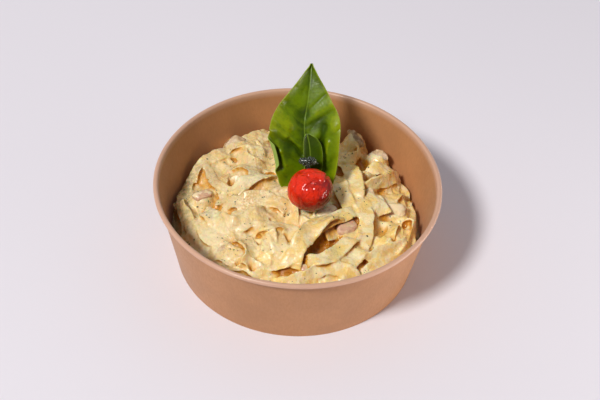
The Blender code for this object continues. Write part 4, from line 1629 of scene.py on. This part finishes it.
def build_mushrooms(settings):
    """Mushroom slices with brown skin and a line of gills."""
    finish = mushroom_finish(settings.flesh, settings.skin, settings.cream)
    for number, (size, turn) in enumerate(MUSHROOMS, start=1):
        width, height, thickness = (measure * MM for measure in size)
        points, faces, skin, gill = mushroom_slice(width, height, thickness, 90 + number)
        placed = settle(points, turn, f"mushroom_slice_{number}")
        piece = new_object(f"mushroom_{number}", placed, faces, finish)
        face_outward(piece.data)
        write_attribute(piece.data, "skin", skin)
        write_attribute(piece.data, "gills", gill)
        apply_modifier(piece, "SUBSURF", levels=2, render_levels=2)
        hand_in(piece, [f"mushroom_slice_{number}"])


# ---------------------------------------------------------------- seasoning


def build_seasoning(settings):
    """Herb flecks and ground pepper on the noodles."""
    pasta = bpy.data.objects["fettuccine_in_sauce"]
    herbs = fleck_finish("dried_herbs", paint(66, 78, 46), paint(108, 120, 70))
    small = (0.25 * MM, 0.18 * MM, 0.08 * MM)
    large = (0.85 * MM, 0.5 * MM, 0.18 * MM)
    flecks = scatter("herb_flecks", pasta, herbs, settings.herbs, small, large, 3)
    hand_in(flecks, ())
    pepper = fleck_finish("ground_pepper", paint(52, 44, 36), paint(110, 96, 74))
    small = (0.14 * MM, 0.14 * MM, 0.10 * MM)
    large = (0.34 * MM, 0.30 * MM, 0.22 * MM)
    specks = scatter("pepper_specks", pasta, pepper, settings.pepper, small, large, 4)
    hand_in(specks, ())


# ---------------------------------------------------------------- stage

CAMERA_PLACE = Vector((1.47, -521.29, 541.95)) * MM
CAMERA_RISE = math.radians(44.19)
CAMERA_ROLL = math.radians(2.90)
CAMERA_LENS = 82.8  # millimetres, as is the film's width
FILM_WIDTH = 36.0
FLOOR_REACH = 6.0
KEY_COLOUR = (1.0, 0.985, 0.96)
SIDE_COLOUR = (1.0, 0.93, 0.86)
SIDE_PLACE = (0.42, -0.11, 0.022)
SIDE_WIDTH = 0.30
SIDE_HEIGHT = 0.03
LIGHTS_AIM = Vector((0, 0, 30)) * MM


def build_stage(settings):
    """Pale floor, key light from the front left, low light from the right, pale surroundings and camera."""
    scene = bpy.context.scene
    scene.view_settings.view_transform = "Standard"
    rings = 40
    spokes = 96
    section = [(FLOOR_REACH * (ring / rings) ** 2, 0.0) for ring in range(1, rings + 1)]
    points = [(0.0, 0.0, 0.0)] + turn_round(section, spokes)
    faces = [[0, 1 + step, 1 + (step + 1) % spokes] for step in range(spokes)]
    faces += [face[::-1] for face in grid_faces(rings, spokes, closed=True, first=1)]
    floor = new_object("studio_floor", points, faces, floor_finish(settings.floor))
    face_up(floor.data)

    world = bpy.data.worlds.new("studio")
    world.use_nodes = True
    tree = world.node_tree
    sky = tree.nodes["Background"]
    feed(tree, sky.inputs["Color"], settings.surroundings)
    direction = add_node(tree, "ShaderNodeTexCoord")["Generated"]
    inputs = {
        "Value": add_node(tree, "ShaderNodeSeparateXYZ", {"Vector": direction})["Y"],
        "From Min": -1.0,
        "From Max": 0.3,
        "To Min": 0.25 * settings.fill,
        "To Max": 1.2 * settings.fill,
    }
    feed(tree, sky.inputs["Strength"], add_node(tree, "ShaderNodeMapRange", inputs)["Result"])
    scene.world = world

    for name, place, width, height, power, tint in (
        ("key_light", settings.key_place, settings.key_size, 0.0, settings.key_power, KEY_COLOUR),
        ("side_light", SIDE_PLACE, SIDE_WIDTH, SIDE_HEIGHT, settings.side_power, SIDE_COLOUR),
    ):
        lamp = bpy.data.lights.new(name, "AREA")
        lamp.shape = "RECTANGLE" if height else "DISK"
        lamp.size = width
        if height:
            lamp.size_y = height
        lamp.energy = power
        lamp.color = tint
        light = bpy.data.objects.new(name, lamp)
        light.location = place
        light.rotation_euler = (LIGHTS_AIM - Vector(place)).to_track_quat("-Z", "Y").to_euler()
        scene.collection.objects.link(light)

    lens = bpy.data.cameras.new("camera")
    lens.lens = CAMERA_LENS
    lens.sensor_width = FILM_WIDTH
    camera = bpy.data.objects.new("camera", lens)
    back = Vector((0, -math.cos(CAMERA_RISE), math.sin(CAMERA_RISE)))
    up = Vector((0, math.sin(CAMERA_RISE), math.cos(CAMERA_RISE)))
    level = Vector((1, 0, 0))
    right = math.cos(CAMERA_ROLL) * level + math.sin(CAMERA_ROLL) * up
    top = math.cos(CAMERA_ROLL) * up - math.sin(CAMERA_ROLL) * level
    camera.matrix_world = Matrix((right, top, back)).transposed().to_4x4()
    camera.location = CAMERA_PLACE
    scene.collection.objects.link(camera)
    scene.camera = camera


def face_up(mesh):
    """Make the faces of a flat mesh point up."""
    bm = bmesh.new()
    bm.from_mesh(mesh)
    bm.normal_update()
    bmesh.ops.reverse_faces(bm, faces=[face for face in bm.faces if face.normal.z < 0])
    bm.to_mesh(mesh)
    bm.free()


# ---------------------------------------------------------------- settings


def quantity(name, description, default):
    """A plain number property."""
    return bpy.props.FloatProperty(name=name, description=description, default=default)


def whole(name, description, default):
    """A whole-number property."""
    return bpy.props.IntProperty(name=name, description=description, default=default)


def length(name, description, default):
    """A length property in metres."""
    return bpy.props.FloatProperty(
        name=name, description=description, default=default, precision=5, subtype="DISTANCE", unit="LENGTH"
    )


def colour(name, description, default):
    """A colour property, linear."""
    return bpy.props.FloatVectorProperty(
        name=name, description=description, default=default, subtype="COLOR", size=3, min=0.0, max=1.0
    )


class AlfredoBowlSettings(bpy.types.PropertyGroup):
    """Sizes and colour of the paper bowl."""

    paper: length("Paper", "Thickness of the paper", 0.6 * MM)
    steps: bpy.props.IntProperty(name="Steps", description="Steps round the bowl", default=240, min=48)
    colour: colour("Kraft", "Colour of the paper", paint(186, 130, 84))


class AlfredoNoodleSettings(bpy.types.PropertyGroup):
    """Amount, sauce and colours of the noodles."""

    seed: whole("Seed", "Changes how the noodles fall", 7)
    count: whole("Hidden noodles", "Noodles under the top ones", 92)
    curls: whole("Curls", "Short curled noodles at the right", 34)
    sauce_softness: length("Sauce softness", "Reach over which the sauce levels out", 2.4 * MM)
    thin_sauce: length("Thin sauce", "Depth of the sauce below the noodles at the right", 0.7 * MM)
    thick_sauce: length("Thick sauce", "Depth of the sauce below the noodles at the left", 0.4 * MM)
    skin_size: length("Skin size", "Finest detail of the sauced surface", 0.46 * MM)
    most_triangles: whole("Most triangles", "Upper limit for the sauced noodles", 190000)
    cream: colour("Cream", "Sauce on the tops", paint(236, 212, 162))
    noodle: colour("Noodle", "Noodle that shows through the sauce", paint(248, 212, 128))
    # Golden colour of bare noodle in the hollows, which also carries the painted shade there.
    bare_and_shade: colour("Hollow", "Noodle without sauce, in the hollows", paint(222, 160, 52))
    browned: colour("Browned", "Toasted cheese", paint(214, 160, 92))


class AlfredoTomatoSettings(bpy.types.PropertyGroup):
    """Skin of the cherry tomato."""

    wrinkle: length("Wrinkle", "Depth of the skin's wrinkles", 1.0 * MM)
    # The belly's deep red stands for painted shade on the side away from the light.
    light: colour("Shoulder", "Orange-red side", paint(238, 44, 4))
    deep: colour("Belly", "Deep red side", paint(136, 3, 1))


class AlfredoBasilSettings(bpy.types.PropertyGroup):
    """Colours of the basil."""

    # Blade and shade are the lit and painted-shade greens of one blade; the margin colour also paints the
    # ridges' highlights.
    green: colour("Blade", "Bright parts of the blade", paint(100, 124, 2))
    dark: colour("Shade", "Dark parts of the blade", paint(56, 78, 1))
    edge: colour("Margin", "Yellow-green margins and ribs", paint(146, 158, 6))
    underside: colour("Underside", "Pale back of the leaf", paint(150, 176, 84))
    bud: colour("Buds", "Dark buds", paint(30, 34, 28))


class AlfredoChickenSettings(bpy.types.PropertyGroup):
    """Colours of the chicken."""

    meat: colour("Meat", "Cooked chicken", paint(226, 178, 146))
    cream: colour("Cream", "Sauce on the chicken", paint(242, 220, 178))


class AlfredoMushroomSettings(bpy.types.PropertyGroup):
    """Colours of the mushroom slices."""

    flesh: colour("Flesh", "Cut flesh", paint(206, 172, 134))
    skin: colour("Skin", "Outer skin", paint(150, 118, 76))
    cream: colour("Cream", "Sauce on the slices", paint(226, 200, 158))


class AlfredoSeasoningSettings(bpy.types.PropertyGroup):
    """Amounts of seasoning, in grains per square metre."""

    herbs: quantity("Herbs", "Herb flecks per square metre", 42000)
    pepper: quantity("Pepper", "Pepper specks per square metre", 30000)


class AlfredoStageSettings(bpy.types.PropertyGroup):
    """Floor and lights."""

    floor: colour("Floor", "Colour of the floor", paint(233, 229, 236))
    surroundings: colour("Surroundings", "Colour of the light from all round", paint(238, 236, 242))
    fill: quantity("Surround light", "Strength from all round", 0.38)
    key_place: bpy.props.FloatVectorProperty(
        name="Key place",
        description="Where the key light hangs",
        default=(-1.34, -1.49, 2.44),
        subtype="XYZ",
    )
    key_size: length("Key size", "Width of the key light", 0.60)
    key_power: quantity("Key power", "Watts of the key light", 84.0)
    side_power: quantity("Side power", "Watts of the low side light", 0.9)


SETTINGS = (
    ("alfredo_stage", AlfredoStageSettings),
    ("alfredo_bowl", AlfredoBowlSettings),
    ("alfredo_noodles", AlfredoNoodleSettings),
    ("alfredo_tomato", AlfredoTomatoSettings),
    ("alfredo_basil", AlfredoBasilSettings),
    ("alfredo_chicken", AlfredoChickenSettings),
    ("alfredo_mushroom", AlfredoMushroomSettings),
    ("alfredo_seasoning", AlfredoSeasoningSettings),
)


# ---------------------------------------------------------------- operators and panel


class ALFREDO_OT_stage(bpy.types.Operator):
    """Make the floor, the lights and the camera"""

    bl_idname = "alfredo.stage"
    bl_label = "Stage"

    def execute(self, context):
        """Build the stage."""
        build_stage(context.scene.alfredo_stage)
        return {"FINISHED"}


class ALFREDO_OT_bowl(bpy.types.Operator):
    """Make the kraft paper bowl"""

    bl_idname = "alfredo.bowl"
    bl_label = "Paper bowl"

    def execute(self, context):
        """Build the bowl."""
        build_bowl(context.scene.alfredo_bowl)
        return {"FINISHED"}


class ALFREDO_OT_noodles(bpy.types.Operator):
    """Make the fettuccine with its sauce"""

    bl_idname = "alfredo.noodles"
    bl_label = "Fettuccine and sauce"

    def execute(self, context):
        """Build the noodles."""
        build_noodles(context.scene.alfredo_noodles)
        return {"FINISHED"}


class ALFREDO_OT_tomato(bpy.types.Operator):
    """Make the roasted cherry tomato"""

    bl_idname = "alfredo.tomato"
    bl_label = "Cherry tomato"

    def execute(self, context):
        """Build the tomato."""
        build_tomato(context.scene.alfredo_tomato)
        return {"FINISHED"}


class ALFREDO_OT_basil(bpy.types.Operator):
    """Make the basil leaves and the bud tuft"""

    bl_idname = "alfredo.basil"
    bl_label = "Basil"

    def execute(self, context):
        """Build the basil."""
        build_basil_leaves(context.scene.alfredo_basil)
        build_buds(context.scene.alfredo_basil)
        return {"FINISHED"}


class ALFREDO_OT_chicken(bpy.types.Operator):
    """Make the chicken strips"""

    bl_idname = "alfredo.chicken"
    bl_label = "Chicken"

    def execute(self, context):
        """Build the chicken."""
        build_chicken(context.scene.alfredo_chicken)
        return {"FINISHED"}


class ALFREDO_OT_mushrooms(bpy.types.Operator):
    """Make the mushroom slices"""

    bl_idname = "alfredo.mushrooms"
    bl_label = "Mushroom slices"

    def execute(self, context):
        """Build the mushroom slices."""
        build_mushrooms(context.scene.alfredo_mushroom)
        return {"FINISHED"}


class ALFREDO_OT_seasoning(bpy.types.Operator):
    """Sprinkle herb flecks and pepper on the noodles"""

    bl_idname = "alfredo.seasoning"
    bl_label = "Seasoning"

    def execute(self, context):
        """Build the seasoning."""
        if "fettuccine_in_sauce" not in bpy.data.objects:
            raise RuntimeError("the noodles come before the seasoning")
        build_seasoning(context.scene.alfredo_seasoning)
        return {"FINISHED"}


OPERATORS = (
    ALFREDO_OT_stage,
    ALFREDO_OT_bowl,
    ALFREDO_OT_noodles,
    ALFREDO_OT_tomato,
    ALFREDO_OT_basil,
    ALFREDO_OT_chicken,
    ALFREDO_OT_mushrooms,
    ALFREDO_OT_seasoning,
)


class ALFREDO_PT_panel(bpy.types.Panel):
    """Lists what the bowl is made of"""

    bl_idname = "ALFREDO_PT_panel"
    bl_label = "Fettuccine alfredo"
    bl_space_type = "VIEW_3D"
    bl_region_type = "UI"
    bl_category = "Alfredo"

    def draw(self, context):
        """Show each operator with the settings it reads."""
        for operator, (name, group) in zip(OPERATORS, SETTINGS):
            box = self.layout.box()
            box.operator(operator.bl_idname)
            for key in group.__annotations__:
                box.prop(getattr(context.scene, name), key)


def register():
    """Register the settings, the operators and the panel."""
    for name, group in SETTINGS:
        bpy.utils.register_class(group)
        setattr(bpy.types.Scene, name, bpy.props.PointerProperty(type=group))
    for operator in OPERATORS:
        bpy.utils.register_class(operator)
    bpy.utils.register_class(ALFREDO_PT_panel)


def unregister():
    """Undo register()."""
    bpy.utils.unregister_class(ALFREDO_PT_panel)
    for operator in reversed(OPERATORS):
        bpy.utils.unregister_class(operator)
    for name, group in reversed(SETTINGS):
        delattr(bpy.types.Scene, name)
        bpy.utils.unregister_class(group)


def main():
    """Make every piece in order."""
    register()
    bpy.ops.alfredo.stage()
    bpy.ops.alfredo.bowl()
    bpy.ops.alfredo.noodles()
    bpy.ops.alfredo.tomato()
    bpy.ops.alfredo.basil()
    bpy.ops.alfredo.chicken()
    bpy.ops.alfredo.mushrooms()
    bpy.ops.alfredo.seasoning()


if __name__ == "__main__":
    main()
